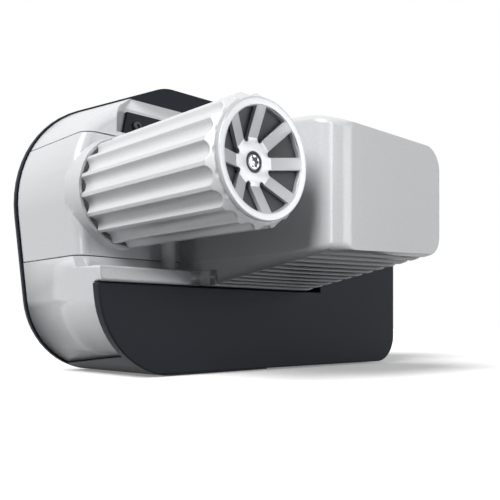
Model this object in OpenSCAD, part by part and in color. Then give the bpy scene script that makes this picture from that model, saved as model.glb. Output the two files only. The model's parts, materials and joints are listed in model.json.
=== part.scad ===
// Drive unit of a caravan motor mover: a fixed dark base bolted to the chassis carries a
// silver drive head that slides towards the tyre and turns a fluted roller.
// Millimetres. +Z is up, the tyre lies on the -X side, the roller's free end points to -Y.
// The origin is the middle of the chassis bolt pattern, on the back face of the plate.

/* [Body outline] */
// Left edge of the body, on the tyre side
body_left = -165; // [-170:1:-160]
// Right edge of the body
body_right = 164; // [155:1:185]
// Top edge of the body
body_top = 118; // [114:1:126]
// Lowest edge of the body, under the tyre side
body_bottom = -126; // [-129:0.5:-125.5]
// Bottom edge of the body at the right
body_low_right = -124.5; // [-126:0.5:-122]
// Radius of the large round on the tyre side
left_round_r = 87; // [84:1:90]
// Radius of the round under the tyre side
toe_r = 60; // [57:1:63]
// How far the toe round is set in from the left edge
toe_lean = 7; // [6:1:8]
// Where the sloping shoulder turns flat, from the plate's middle
shoulder_x = -19; // [-26:1:-12]
// Radius of the rounds at the top
top_round_r = 40; // [34:1:46]
// Radius of the round at the bottom right
right_round_r = 24; // [18:1:28]

/* [Drive roller] */
// Diameter over the ribs
roller_d = 75; // [72:0.5:76]
// Length of the roller with its cap
roller_len = 130; // [110:1:140]
// Roller axis from the plate's middle, along X
roller_x = -125; // [-127:0.5:-123]
// Number of flutes
flute_count = 18; // [12:1:20]
// Diameter of the ball-nosed flute
flute_d = 9.4; // [7:0.1:10]
// Depth of the flute
flute_depth = 3.6; // [2.5:0.1:4.2]
// Plain length left between the flutes and the cap
shoulder_len = 9; // [7:0.5:14]
// Wall of the hollow roller, from rib top to cavity
roller_wall = 9; // [8:0.5:10]
// Depth of the hollow behind the cap
hollow_depth = 52; // [40:1:60]

/* [Roller cap] */
// Diameter of the cap's rim
rim_d = 70.6; // [69:0.2:71.4]
// Width of the rim ring
rim_w = 3.7; // [3:0.1:5]
// How far the rim stands out of the roller
rim_t = 5; // [4:0.5:7]
// Number of spokes
spoke_count = 8; // [6:1:10]
// Width of a spoke
spoke_w = 6.6; // [5:0.2:8]
// Thickness of the spokes
spoke_t = 3; // [2:0.5:4]
// How far the spokes lie behind the rim where they meet it
spoke_set = 1.6; // [1:0.2:2.4]
// How far the flat hub lies behind the rim
hub_set = 6.6; // [5:0.2:7]
// Radius of the flat hub
hub_r = 13.4; // [12.5:0.1:14.5]
// Turn of the spokes from level
cap_turn = 4; // [0:0.5:20]
// Radius of a window's round inner end
window_end_r = 1.8; // [1.2:0.1:2.4]
// Diameter of the recess for the cap screw
cap_recess_d = 12.6; // [11.5:0.1:14]
// Diameter of the cap screw's head
cap_head_d = 10; // [8:0.2:11]

/* [Roller shaft and bearings] */
// Diameter of the roller shaft
shaft_d = 25; // [22:1:25]
// Diameter of the shaft's rear journal
journal_d = 20; // [17:1:20]
// Outside diameter of the front bearing
front_bearing_d = 52; // [50:1:54]
// Width of the front bearing
front_bearing_w = 15; // [13:1:16]
// Outside diameter of the rear bearing
rear_bearing_d = 42; // [40:1:44]
// Width of the rear bearing
rear_bearing_w = 12; // [10:1:12]
// Outside diameter of the shaft seal
seal_d = 44; // [40:1:46]
// Width of the shaft seal
seal_w = 6; // [5:0.5:7]
// Running clearance of a shaft in its bearing, on the radius
run_gap = 0.05; // [0.02:0.01:0.09]

/* [Gear train] */
// Module of the motor stage
motor_module = 1.5; // [1.5]
// Teeth of the motor pinion
pinion_teeth = 14; // [14]
// Teeth of the large intermediate gear
inter_teeth = 76; // [76:1:78]
// Module of the roller stage
roller_module = 2; // [2]
// Teeth of the small intermediate gear
small_teeth = 16; // [16]
// Teeth of the gear on the roller shaft
output_teeth = 30; // [30]
// Width of the large intermediate gear
inter_w = 10; // [8:1:11]
// Width of the gear on the roller shaft
output_w = 18; // [14:1:20]
// Diameter of the intermediate shaft
inter_shaft_d = 14; // [12:1:15]
// Play between the teeth, on the pitch circle
tooth_play = 0.4; // [0.3:0.05:0.5]

/* [Gear case] */
// Depth of the case, front to back
case_d = 80; // [78:1:84]
// Right edge of the case
case_right = 51; // [48:1:55]
// Thickness of the case walls
case_wall = 5; // [4:0.5:6]
// Thickness of the front wall
front_wall = 8; // [7:0.5:9]
// Thickness of the back plate
back_plate_t = 7; // [6:0.5:8]
// Radius of the rounded front edge
case_round = 9; // [6:0.5:10]
// Height of the upper parting line
split_top = 40; // [39:0.5:42]
// Height of the lower parting line
split_low = -44; // [-46:0.5:-43]
// Width of the groove at a parting line
split_gap = 0.6; // [0.4:0.1:0.8]
// How far the dark rear cover stands out round the case
case_inset = 1.5; // [1:0.1:2]
// Length of the collar behind the roller
collar_len = 9; // [8:0.5:12]
// Front rim diameter of the collar
collar_d = 77; // [75:0.5:78]
// Front of the recess above the roller, back from the front wall
recess_back = 38; // [30:1:40]
// Height of the recess roof at its front edge
recess_roof = 76; // [75:1:80]

/* [Motor housing] */
// Left side of the motor housing
motor_left = -75; // [-78:1:-73]
// Right side of the motor housing
motor_right = 45; // [43:1:48]
// Top of the motor housing at its outer end
motor_top = 36.5; // [36.5:0.5:38]
// How far the top rises towards the gear case
motor_rise = 12; // [8:1:14]
// Underside at the outer end
motor_low_front = -46; // [-48:0.5:-46]
// Length of the motor housing from the gear case
motor_len = 148; // [140:1:156]
// Radius of the housing's upper right corner
motor_corner_r = 14; // [12:1:18]
// Radius of the housing's lower right corner
motor_low_r = 12; // [10:1:15]
// Radius of the housing's left long edges
motor_edge_r = 5; // [3:0.5:7]
// Radius of the upright edge at the left of the end face
motor_end_r = 18; // [14:1:20]
// Height of the motor axis
motor_z = -4; // [-4.5:0.1:-3.5]
// Number of cooling slots underneath
slot_count = 11; // [6:1:11]
// First slot behind the end face
slot_first = 8; // [6:0.5:9]
// Distance between two slots
slot_pitch = 10; // [8:0.5:10]
// Width of a slot
slot_w = 6.4; // [5:0.1:7]
// Thickness of the wall that closes the slots at the left
slot_wall = 5; // [4:0.5:8]
// Walls of the housing round its hollow
housing_wall = 6; // [5:0.5:7]
// Diameter of the stator
stator_d = 70; // [64:1:71]
// Length of the stator
stator_len = 78; // [60:1:84]
// Diameter of the rotor
rotor_d = 42; // [36:1:44]
// Diameter of the commutator
commutator_d = 24; // [20:1:28]
// Diameter of the motor shaft
motor_shaft_d = 10; // [8:1:11]
// Outside diameter of the motor bearings
motor_bearing_d = 30; // [26:1:32]
// Width of the motor bearings
motor_bearing_w = 9; // [8:0.5:10]

/* [Base] */
// Thickness of the chassis plate
plate_t = 8; // [6:1:10]
// Depth of the rear cover
cover_d = 20; // [18:1:26]
// Walls of the rear cover
cover_wall = 4; // [3:0.5:5]
// How far the back of the rear cover is set in from its flange on the tyre side
pan_set = 34; // [33:1:36]
// Top of the base's shelf
shelf_top = -63; // [-64:0.5:-62]
// Walls of the base
base_wall = 4; // [3:0.5:5]
// How far the front of the base stands ahead of the gear case
ledge_d = 25; // [22:1:28]
// Thickness of the base's front panel
panel_t = 8; // [6:1:9]
// Left side of the tower behind the motor housing
tower_left = 57; // [56:1:62]
// Top of the tower
tower_top = 74; // [50:1:78]
// Radius of the tower's top corner
tower_round = 16; // [8:1:20]
// Left wall of the base's inner box
box_left = -134; // [-136:1:-132]
// Thickness of the walls that carry the guide bushes
bush_wall = 8; // [7:1:10]
// Lower edge of the silver band at its front
band_low_front = -111; // [-112:0.5:-110]
// Lower edge of the silver band at its back
band_low_back = -119.5; // [-120:0.5:-118]
// Right end of the band's lip under the base
lip_right = -121; // [-123:0.5:-120]
// Thickness of that lip
lip_t = 6; // [5:0.5:6.5]
// Right end of the skid under the base
skid_right = -4; // [-30:1:20]

/* [Engagement slide] */
// Travel towards the tyre
slide_travel = 35; // [25:1:38]
// Gap between the sliding head and the base
slide_gap = 0.6; // [0.4:0.1:0.8]
// Diameter of the guide rods
rod_d = 16; // [14:1:17]
// Distance between the guide rods
rod_pitch = 68; // [66:1:70]
// Height of the guide rods and the lead screw
rod_z = -84; // [-86:0.5:-83]
// Wall carrying the inner guide bushes
inner_wall_x = 8; // [4:1:12]
// Diameter of the lead screw
screw_d = 12; // [10:1:13]
// Outside diameter of the thrust tube
tube_d = 22; // [20:1:23]
// Length of the lead screw nut
nut_len = 16; // [12:1:20]
// Diameter of the engagement motor
engage_d = 32; // [28:1:33]
// Length of the engagement motor with its gearhead
engage_len = 96; // [80:1:110]

/* [Chassis interface] */
// Width of the chassis plate
plate_w = 200; // [190:1:210]
// Top of the chassis plate
plate_top = 60; // [56:1:66]
// Bottom of the chassis plate
plate_bottom = -114; // [-116:1:-112]
// Height of the pad that lies on the chassis
pad_t = 3; // [2:0.5:3.5]
// Bottom of that pad
pad_bottom = -50; // [-52:1:-48]
// Distance between the chassis bolts along X
bolt_pitch_x = 160; // [156:1:166]
// Distance between the chassis bolts along Z
bolt_pitch_z = 80; // [70:1:84]
// Diameter of the chassis bolt holes
bolt_hole_d = 13; // [11:0.5:14]
// Bore of the crossbar socket
socket_bore_d = 40.4; // [38:0.1:42]
// Outside diameter of the crossbar socket
socket_d = 50; // [48:1:52]
// Length of the crossbar socket
socket_len = 60; // [50:1:70]
// Height of the crossbar socket
socket_z = -84; // [-86:1:-82]
// Bore of the cable gland
gland_bore_d = 12; // [8:0.5:13]

/* [Hidden] */
$fn = 48;

far = 400;
eps = 0.01;
silver = "#C9CBCE";
bright = "#DADCDE";
dark = "#262A33";
steel = "#9AA0A6";
bronze = "#B08D57";

// Stations along Y, from the chassis plate forwards
cover_back = -plate_t;
cover_front = cover_back - cover_d;
case_back = cover_front - slide_gap;
case_front = case_back - case_d;
panel_front = case_front - ledge_d;
panel_back = panel_front + panel_t;
collar_front = case_front - collar_len;
roller_far = collar_front - slide_gap;
roller_near = roller_far - roller_len;
rim_back = roller_near + rim_t;
motor_front = case_front - motor_len;
wall_in = case_front + front_wall;

// Front bearing and seal behind the roller
seal_front = collar_front;
bearing_front = seal_front + seal_w;
bearing_back = bearing_front + front_bearing_w;
collar_inner = bearing_back - wall_in;

// Planes of the two gear stages
gear_gap = 4;
output_front = bearing_back + gear_gap;
output_back = output_front + output_w;
carrier_front = output_back + gear_gap;
carrier_back = carrier_front + rear_bearing_w;
back_plate_front = case_back - back_plate_t;
inter_back = back_plate_front - gear_gap;
inter_front = inter_back - inter_w;
shaft_end = carrier_back + 1;

// Pitch radii and the triangle of gear axes
output_r = roller_module * output_teeth / 2;
small_r = roller_module * small_teeth / 2;
inter_r = motor_module * inter_teeth / 2;
pinion_r = motor_module * pinion_teeth / 2;
motor_x = (motor_left + motor_right) / 2;
axis_run = [motor_x - roller_x, motor_z];
axis_span = norm(axis_run);
roller_leg = output_r + small_r;
motor_leg = inter_r + pinion_r;
foot = (axis_span * axis_span + roller_leg * roller_leg - motor_leg * motor_leg) / (2 * axis_span);
rise = sqrt(roller_leg * roller_leg - foot * foot);
along = axis_run / axis_span;
inter_x = roller_x + foot * along[0] - rise * along[1];
inter_z = foot * along[1] + rise * along[0];
roller_angle = atan2(inter_z, inter_x - roller_x);
motor_angle = atan2(motor_z - inter_z, motor_x - inter_x);

// Fixed base and sliding head
rod_y = (panel_back + cover_front) / 2;
rod_ys = [rod_y - rod_pitch / 2, rod_y + rod_pitch / 2];
skirt_right = box_left - 2;
socket_depth = 8;
rod_left = skirt_right - socket_depth;
bush_flange = 2;
engage_left = inner_wall_x + bush_wall;
rod_right = engage_left + bush_flange + slide_travel + 7;
nut_left = box_left + bush_wall + slide_travel + 15;
nut_right = nut_left + nut_len;
screw_left = nut_left - slide_travel - 3;
collar_w = 14;
head_low = shelf_top + slide_gap;
recess_y = case_front + recess_back;
recess_floor = split_top + split_gap / 2 + case_wall;
roof_rise = 24;
lid_t = 3;
clamp_seat = socket_d / 2 + 6;
window_left = roller_x + 42;
window_right = case_right - 20;
cover_screw_x = [window_left - 6, window_right + 6];
cover_screw_z = recess_roof - 9;
ledge_top = head_low + 10.5;
ledge_right = motor_left + 12;
ledge_post_x = motor_left - 19;
ledge_post_r = 5;
ledge_post_h = 24;
floor_t = 5;
plate_land = 2;
rib_t = 4;
band_front = panel_back + slide_gap;
cover_skin = 3.5;
rim_r = rim_d / 2;
roller_r = roller_d / 2;
cavity_r = roller_r - roller_wall;
hub_front = roller_near + hub_set;
rim_land = 0.4;
cap_seat = hub_front + 2.4;
hub_back = cap_seat + 5;
stator_front = motor_front + 26;
stator_back = stator_front + stator_len;
motor_nose = stator_front - 8;
air_gap = 0.8;

// Control board on its posts
board_half = 50;
board_back = cover_front - 10;
board_front = board_back - 1.6;
relay_left = tower_left + 55;
relay_right = relay_left + 22;

// Screw sizes and the bosses they go into
m6_r = 3;
m6_head_r = 5;
m6_head_t = 4;
screw_len = 14;
thread_fit = 0.05;
hole_play = 0.3;
head_sink = 0.2;
m8_r = 4;
m4_r = 2;
m4_head_r = 3.5;
m4_head_t = 2.4;
boss_r = 6.5;
pillar_r = 5.5;
boss_len = screw_len + 2;

// Solids along the axes
module along_y(y0, y1) {
    translate([0, y1, 0]) rotate([90, 0, 0]) linear_extrude(y1 - y0) children();
}
module rod_along_y(r, y0, y1, x, z) {
    translate([x, y1, z]) rotate([90, 0, 0]) cylinder(r = r, h = y1 - y0);
}
module cone_along_y(r0, r1, y0, y1, x, z) {
    translate([x, y1, z]) rotate([90, 0, 0]) cylinder(r1 = r1, r2 = r0, h = y1 - y0);
}
module rod_along_x(r, x0, x1, y, z) {
    translate([x0, y, z]) rotate([0, 90, 0]) cylinder(r = r, h = x1 - x0);
}
module box(x0, x1, y0, y1, z0, z1) {
    translate([x0, y0, z0]) cube([x1 - x0, y1 - y0, z1 - z0]);
}
module ring_along_y(r_out, r_in, y0, y1, x, z) {
    difference() {
        rod_along_y(r_out, y0, y1, x, z);
        rod_along_y(r_in, y0 - 1, y1 + 1, x, z);
    }
}
module span(x0, x1, z0, z1) {
    translate([x0, z0]) square([x1 - x0, z1 - z0]);
}
module round_span(x0, x1, z0, z1, r) {
    span(x0 + r, x1 - r, z0, z1);
    span(x0, x1, z0 + r, z1 - r);
    for (x = [x0 + r, x1 - r], z = [z0 + r, z1 - r])
        translate([x, z]) circle(r);
}

// Outline of the body seen from the roller's end: five rounds joined by their common tangents,
// taken counterclockwise, each as [centre x, centre z, radius]
rounds = [
    [body_right - right_round_r, body_low_right + right_round_r, right_round_r],
    [body_right - top_round_r, body_top - top_round_r, top_round_r],
    [shoulder_x, body_top - top_round_r, top_round_r],
    [body_left + left_round_r, 0, left_round_r],
    [body_left + toe_lean + toe_r, body_bottom + toe_r, toe_r]];
arc_step = 6;
function turn_up(a, b) = b < a ? turn_up(a, b + 360) : b;
function tangent_angle(p, q) =
    let (d = [q[0] - p[0], q[1] - p[1]])
    atan2(d[1], d[0]) - acos((p[2] - q[2]) / norm(d));
function round_points(i, inset) =
    let (count = len(rounds), c = rounds[i], a = tangent_angle(rounds[(i + count - 1) % count], c),
        b = turn_up(a, tangent_angle(c, rounds[(i + 1) % count])), steps = ceil((b - a) / arc_step))
    [for (k = [0:steps]) let (t = a + (b - a) * k / steps)
        [c[0] + (c[2] - inset) * cos(t), c[1] + (c[2] - inset) * sin(t)]];
module outline(inset) {
    polygon([for (i = [0:len(rounds) - 1]) each round_points(i, inset)]);
}

// Spur gear with involute flanks, one tooth along +X
function flank_angle(r, rb, half) = half + (tan(20) * 180 / PI - 20)
    - (r > rb ? tan(acos(rb / r)) * 180 / PI - acos(rb / r) : 0);
function gear_points(m, teeth) =
    let (rp = m * teeth / 2, rb = rp * cos(20), ra = rp + 0.8 * m, rr = rp - 1.2 * m,
        half = (PI * m / 2 - tooth_play / 2) / rp / 2 * 180 / PI,
        low = max(rr, rb),
        radii = [rr, low + eps, (low + 2 * rp) / 3, (2 * rp + ra) / 3, ra])
    [for (i = [0:teeth - 1], side = [-1, 1], k = [0:4])
        let (r = radii[side < 0 ? k : 4 - k], a = i * 360 / teeth + side * flank_angle(r, rb, half))
        [r * cos(a), r * sin(a)]];
module gear(m, teeth, y0, y1, x, z, turn, bore_r) {
    translate([x, 0, z])
        difference() {
            along_y(y0, y1) rotate(turn) polygon(gear_points(m, teeth));
            rod_along_y(bore_r, y0 - 1, y1 + 1, 0, 0);
        }
}

// Places of the repeated fasteners
plate_screw_at = [for (x = [-1, 1]) each [[x * (plate_w / 4 - 5), plate_top - 12],
    [x * (plate_w / 2 - 10), 0], [x * (plate_w / 2 - 10), plate_bottom + 12]]];
base_screw_at = [[body_right - 13.7, body_low_right + 13.7], [body_right - 9.3, tower_top - 12],
    [tower_left + 9, tower_top - 10], [box_left + 15.5, rod_z - 22],
    [(inner_wall_x + box_left) / 2, shelf_top - 5]];
mid_screws = [[body_left + 11, -10], [case_right - 10, motor_z - 30]];
top_screws = [[roller_x - 13.5, split_top + 6], [inter_x + 15.6, inter_z + 68],
    [case_right - 10, split_top + 12]];
low_screws = [[roller_x - 20, head_low + 10.5], [motor_x - 8, head_low + 10.5]];
case_screw_at = concat(mid_screws, top_screws, low_screws);
housing_screw_at = [for (x = [-1, 1], z = [-34, 28]) [motor_x + x * 50, motor_z + z]];
// Pillars of the plate that carries the roller shaft's rear bearing, clear of the gears
carrier_at = [for (x = [-20, small_r + 14], z = [-1, 1]) [roller_x + x, z * (output_r + 4)]];
board_post_at = [for (x = [tower_left + 18, body_right - 22], z = [-1, 1]) [x, z * (board_half - 10)]];

// Fixed base

// Outline of the rear cover's pan behind its flange
module pan_outline(inset) {
    intersection() {
        outline(inset);
        translate([pan_set, 0]) outline(inset);
    }
}
module rear_cover() {
    color(dark) difference() {
        union() {
            along_y(cover_front, cover_front + cover_skin) outline(0);
            difference() {
                along_y(cover_front + cover_skin - eps, cover_back) pan_outline(0);
                along_y(cover_front + cover_skin - eps, cover_back + 1) pan_outline(cover_wall);
            }
            along_y(cover_front + cover_skin - eps, cover_back - 2) intersection() {
                pan_outline(cover_wall - 1);
                union() {
                    for (x = [-1, -0.5, 0.5, 1])
                        span(x * plate_w / 2 - rib_t / 2, x * plate_w / 2 + rib_t / 2, -far, far);
                    for (z = [pad_bottom - 10, plate_top + 14]) span(-far, far, z - rib_t / 2, z + rib_t / 2);
                }
            }
            for (p = plate_screw_at) rod_along_y(9, cover_front + 1, cover_back, p[0], p[1]);
            rod_along_y(socket_d / 2, cover_front + 1, cover_back, 0, socket_z);
            gland_boss(gland_bore_d / 2 + 9);
        }
        for (p = plate_screw_at) rod_along_y(m6_r, cover_back - screw_len, cover_back + 1, p[0], p[1]);
        for (p = base_screw_at) rod_along_y(m6_r, cover_front - 1, cover_back, p[0], p[1]);
        rod_along_y(gland_bore_d / 2 + 4, cover_front - 1, cover_back + 1, gland_x(), gland_z());
    }
}
function gland_x() = body_right - 42;
function gland_z() = 20;
module gland_boss(r) {
    rod_along_y(r, cover_front + 1, cover_back, gland_x(), gland_z());
}

// Shelf and tower of the base seen from the roller's end
module base_region(inset) {
    intersection() {
        outline(inset);
        union() {
            span(-far, far, body_low_right + inset, shelf_top - inset);
            round_span(tower_left + inset, body_right + tower_round, shelf_top - 40, tower_top - inset,
                tower_round);
        }
    }
}
// Section of the base behind its panel, clear of the band's lip
module base_core(inset) {
    span(lip_right + slide_gap + inset, far, -far, far);
    intersection() {
        span(box_left, far, -far, far);
        outline(case_inset + lip_t + 2 * slide_gap + inset);
    }
}
// Space under the slanting lower edge of the silver band
function band_low(y) = band_low_front
    + (band_low_back - band_low_front) * (y - band_front) / (case_back - band_front);
module under_band(gap) {
    front = panel_front - 10;
    back = cover_front + 10;
    rotate([90, 0, 90]) linear_extrude(2 * far, center = true)
        polygon([[front, band_low(front) - gap], [front, -far], [back, -far], [back, band_low(back) - gap]]);
}
module base_tray() {
    color(dark) difference() {
        union() {
            difference() {
                union() {
                    along_y(panel_front, panel_back) base_region(0);
                    along_y(panel_back - eps, cover_front) intersection() {
                        base_region(0);
                        base_core(0);
                    }
                    intersection() {
                        along_y(panel_back - eps, cover_front) base_region(0);
                        under_band(slide_gap);
                    }
                }
                along_y(panel_back, cover_front + 1) intersection() {
                    base_region(base_wall);
                    base_core(base_wall);
                    union() {
                        span(box_left + bush_wall, inner_wall_x, -far, far);
                        span(inner_wall_x + bush_wall, far, -far, far);
                    }
                }
            }
            along_y(cover_front - screw_len, cover_front) intersection() {
                base_region(0);
                for (p = base_screw_at) translate(p) circle(boss_r);
            }
        }
        for (p = base_screw_at) rod_along_y(m6_r, cover_front - screw_len + 1, cover_front + 1, p[0], p[1]);
        for (y = rod_ys) rod_along_x(bush_r(), box_left - 1, engage_left + 1, y, rod_z);
        rod_along_x(tube_d / 2 + slide_gap, box_left - 1, box_left + bush_wall + 1, rod_y, rod_z);
        rod_along_x(screw_d / 2 + 2, inner_wall_x - 1, engage_left + 1, rod_y, rod_z);
    }
}
function bush_r() = rod_d / 2 + 3;

module bottom_skid() {
    color("#17191D") along_y(panel_front + 3, cover_front) intersection() {
        outline(0);
        span(-far, skid_right, -far, body_low_right);
    }
}

module mounting_plate() {
    color(steel) difference() {
        union() {
            along_y(-plate_t, -pad_t) round_span(-plate_w / 2, plate_w / 2, plate_bottom, plate_top, 12);
            along_y(-pad_t - eps, 0) round_span(-plate_w / 2, plate_w / 2, pad_bottom, plate_top, 12);
        }
        for (x = [-1, 1], z = [-1, 1])
            rod_along_y(bolt_hole_d / 2, -plate_t - 1, 1, x * bolt_pitch_x / 2, z * bolt_pitch_z / 2);
        for (p = plate_screw_at) {
            rod_along_y(m6_r + hole_play, -plate_t - 1, 1, p[0], p[1]);
            rod_along_y(m6_head_r + hole_play, -m6_head_t, 1, p[0], p[1]);
        }
    }
}
module plate_screws() {
    color("#6E7378") for (p = plate_screw_at) {
        rod_along_y(m6_r - thread_fit, cover_back - screw_len + 1, -m6_head_t, p[0], p[1]);
        rod_along_y(m6_head_r, -m6_head_t, -head_sink, p[0], p[1]);
    }
}
module crossbar_socket() {
    color(steel) difference() {
        union() {
            rod_along_y(socket_d / 2, -pad_t, socket_len, 0, socket_z);
            rod_along_y(socket_d / 2 + 5, -pad_t, 4 - pad_t, 0, socket_z);
            side_rods(8, socket_d / 2 - 2, clamp_seat);
        }
        rod_along_y(socket_bore_d / 2, -pad_t - 1, socket_len + 1, 0, socket_z);
        side_rods(m8_r, 0, socket_d);
    }
}
module socket_screws() {
    color("#6E7378") {
        side_rods(m8_r - thread_fit, socket_bore_d / 2 + 0.5, clamp_seat);
        side_rods(7, clamp_seat, clamp_seat + 5);
    }
}
// A pair of rods across the socket, from one distance to another on each side
module side_rods(r, from, to) {
    rod_along_x(r, from, to, socket_len - 16, socket_z);
    rod_along_x(r, -to, -from, socket_len - 16, socket_z);
}
module cable_gland() {
    color("#1C1E22") difference() {
        union() {
            rod_along_y(gland_bore_d / 2 + 3.95, cover_front, cover_back + 14, gland_x(), gland_z());
            translate([gland_x(), cover_back + 6, gland_z()]) rotate([90, 0, 0])
                cylinder(r = gland_bore_d / 2 + 7, h = 6, $fn = 6);
            cone_along_y(gland_bore_d / 2 + 5.5, gland_bore_d / 2 + 2.5, cover_back + 6, cover_back + 20,
                gland_x(), gland_z());
        }
        rod_along_y(gland_bore_d / 2, cover_front - 1, cover_back + 21, gland_x(), gland_z());
    }
}
module guide_bushes() {
    color(bronze) for (y = rod_ys) {
        for (x0 = [box_left, inner_wall_x]) difference() {
            union() {
                rod_along_x(bush_r(), x0, x0 + bush_wall, y, rod_z);
                rod_along_x(bush_r() + 2, x0 + bush_wall, x0 + bush_wall + bush_flange, y, rod_z);
            }
            rod_along_x(rod_d / 2 + run_gap, x0 - 1, x0 + bush_wall + bush_flange + 1, y, rod_z);
        }
    }
}
module engage_motor() {
    head_end = engage_left + engage_len * 0.36;
    can_end = engage_left + engage_len - 6;
    color("#3A3D42") difference() {
        union() {
            rod_along_x(engage_d / 2, engage_left, head_end, rod_y, rod_z);
            rod_along_x(engage_d / 2 - 2, head_end, can_end, rod_y, rod_z);
            rod_along_x(engage_d / 2 - 10, can_end, can_end + 6, rod_y, rod_z);
            box(head_end + 8, can_end - 14, rod_y - 8, rod_y + 8, body_low_right + base_wall,
                rod_z - engage_d / 2 + 4.5);
        }
        rod_along_x(screw_d / 2 + run_gap, engage_left - 1, engage_left + 12, rod_y, rod_z);
    }
}
module thrust_collar() {
    color(steel) difference() {
        rod_along_x(screw_d / 2 + 5, inner_wall_x - collar_w, inner_wall_x - slide_gap, rod_y, rod_z);
        rod_along_x(screw_d / 2, inner_wall_x - collar_w - 1, inner_wall_x, rod_y, rod_z);
    }
}
module control_board() {
    color("#1F5D3A") difference() {
        box(tower_left + 10, body_right - 14, board_front, board_back, -board_half, board_half);
        for (p = board_post_at) rod_along_y(m4_r, board_front - 1, board_back + 1, p[0], p[1]);
    }
    color("#2B2E33") {
        box(tower_left + 26, relay_left - 3, board_front - 8, board_front, -20, 10);
        box(relay_left, relay_right, board_front - 12, board_front, 18, board_half - 6);
        for (z = [-40, -28, -16]) box(relay_left, relay_right, board_front - 14, board_front, z, z + 9);
    }
}
module board_posts() {
    color(steel) for (p = board_post_at) {
        rod_along_y(m4_r * 2, board_back, cover_front, p[0], p[1]);
        rod_along_y(m4_r - hole_play / 3, board_front, board_back + eps, p[0], p[1]);
        rod_along_y(m4_head_r, board_front - m4_head_t, board_front, p[0], p[1]);
    }
}
module base_screws() {
    color("#6E7378") for (p = base_screw_at) {
        rod_along_y(m6_r - thread_fit, cover_front - screw_len + 2, cover_front + cover_skin, p[0], p[1]);
        rod_along_y(m6_head_r, cover_front + cover_skin, cover_front + cover_skin + m6_head_t, p[0], p[1]);
    }
}

// Sliding head: the case

// Whole case block with its rounded front edge
module case_block(front) {
    hull() for (k = [0:5]) {
        a = k * 18;
        along_y(front + case_round * (1 - sin(a)), case_back)
            outline(case_inset + case_round * (1 - cos(a)));
    }
}
module case_slice(z0, z1) {
    intersection() {
        case_block(case_front);
        box(-far, case_right, -far, far, z0, z1);
    }
}
module case_hollow(z0, z1) {
    along_y(wall_in, back_plate_front) intersection() {
        outline(case_inset + case_wall);
        span(-far, case_right - case_wall, z0, z1);
    }
    along_y(back_plate_front - eps, case_back + 1) intersection() {
        outline(case_inset + case_wall - plate_land);
        span(-far, case_right - case_wall + plate_land, z0, z1);
    }
}
module screw_bosses(list) {
    for (p = list) rod_along_y(boss_r, back_plate_front - boss_len, back_plate_front, p[0], p[1]);
}
module screw_holes(list) {
    for (p = list) rod_along_y(m6_r, back_plate_front - screw_len, back_plate_front + 1, p[0], p[1]);
}

module gear_case() {
    color(silver) difference() {
        union() {
            difference() {
                case_slice(split_low + split_gap / 2, split_top - split_gap / 2);
                case_hollow(split_low, split_top);
            }
            cone_along_y(collar_d / 2, collar_d / 2 + 1, collar_front, case_front + case_round, roller_x, 0);
            rod_along_y(front_bearing_d / 2 + 5, wall_in - 1, bearing_back, roller_x, 0);
            rod_along_y(inter_shaft_d / 2 + 7, wall_in - 1, bearing_back, inter_x, inter_z);
            intersection() {
                screw_bosses(mid_screws);
                box(-far, far, -far, far, split_low + split_gap, split_top - split_gap);
            }
            for (p = carrier_at) rod_along_y(pillar_r, wall_in - 1, carrier_front, p[0], p[1]);
        }
        rod_along_y(seal_d / 2, collar_front - 1, bearing_front + 1, roller_x, 0);
        rod_along_y(front_bearing_d / 2, bearing_front, bearing_back + 1, roller_x, 0);
        rod_along_y(inter_shaft_d / 2 + 3, bearing_back - 10, bearing_back + 1, inter_x, inter_z);
        rod_along_y(motor_bearing_d / 2, case_front - 1, wall_in + 1, motor_x, motor_z);
        for (p = carrier_at) rod_along_y(m6_r, carrier_front - screw_len, carrier_front + 1, p[0], p[1]);
        for (p = housing_screw_at) rod_along_y(m6_r + hole_play, case_front - 1, wall_in + 1, p[0], p[1]);
        screw_holes(mid_screws);
    }
}
module upper_case() {
    edge_front = roller_x - 4;
    edge_back = roller_x + 62;
    color(silver) difference() {
        union() {
            difference() {
                case_slice(split_top + split_gap / 2, body_top);
                difference() {
                    case_hollow(split_top, body_top);
                    roof_cut(edge_front - case_wall, edge_back - case_wall, case_wall);
                }
            }
            intersection() {
                screw_bosses(top_screws);
                case_slice(split_top + split_gap / 2, body_top);
            }
        }
        roof_cut(edge_front, edge_back, 0);
        window_cut(1);
        for (x = cover_screw_x) rod_along_y(m4_r, recess_y - 1, recess_y + case_wall + 1, x, cover_screw_z);
        screw_holes(top_screws);
    }
}
// Space of the recess above the roller, with its sloping roof and slanting left side
module roof_cut(edge_front, edge_back, margin) {
    intersection() {
        linear_extrude(far) polygon([[edge_front, case_front], [edge_front, case_front - far],
            [far, case_front - far], [far, case_back + 1], [edge_back, case_back + 1]]);
        union() {
            box(-far, far, -far, recess_y + margin, recess_floor - margin, far);
            rotate([90, 0, 90]) linear_extrude(2 * far, center = true) polygon([
                [recess_y, recess_roof - margin], [case_back + 1, recess_roof - margin + roof_rise],
                [case_back + 1, far], [recess_y, far]]);
        }
    }
}
// Window in the recess, closed by the inspection cover
module window_cut(grow) {
    box(window_left, window_right, recess_y - 1, recess_y + case_wall + grow,
        recess_floor + 4, recess_roof - 12);
}
module inspection_cover() {
    color(dark) difference() {
        box(roller_x + 30, case_right - 8, recess_y - lid_t, recess_y, recess_floor, recess_roof - 3);
        for (x = cover_screw_x)
            rod_along_y(m4_r + hole_play, recess_y - lid_t - 1, recess_y + 1, x, cover_screw_z);
    }
}

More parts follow.
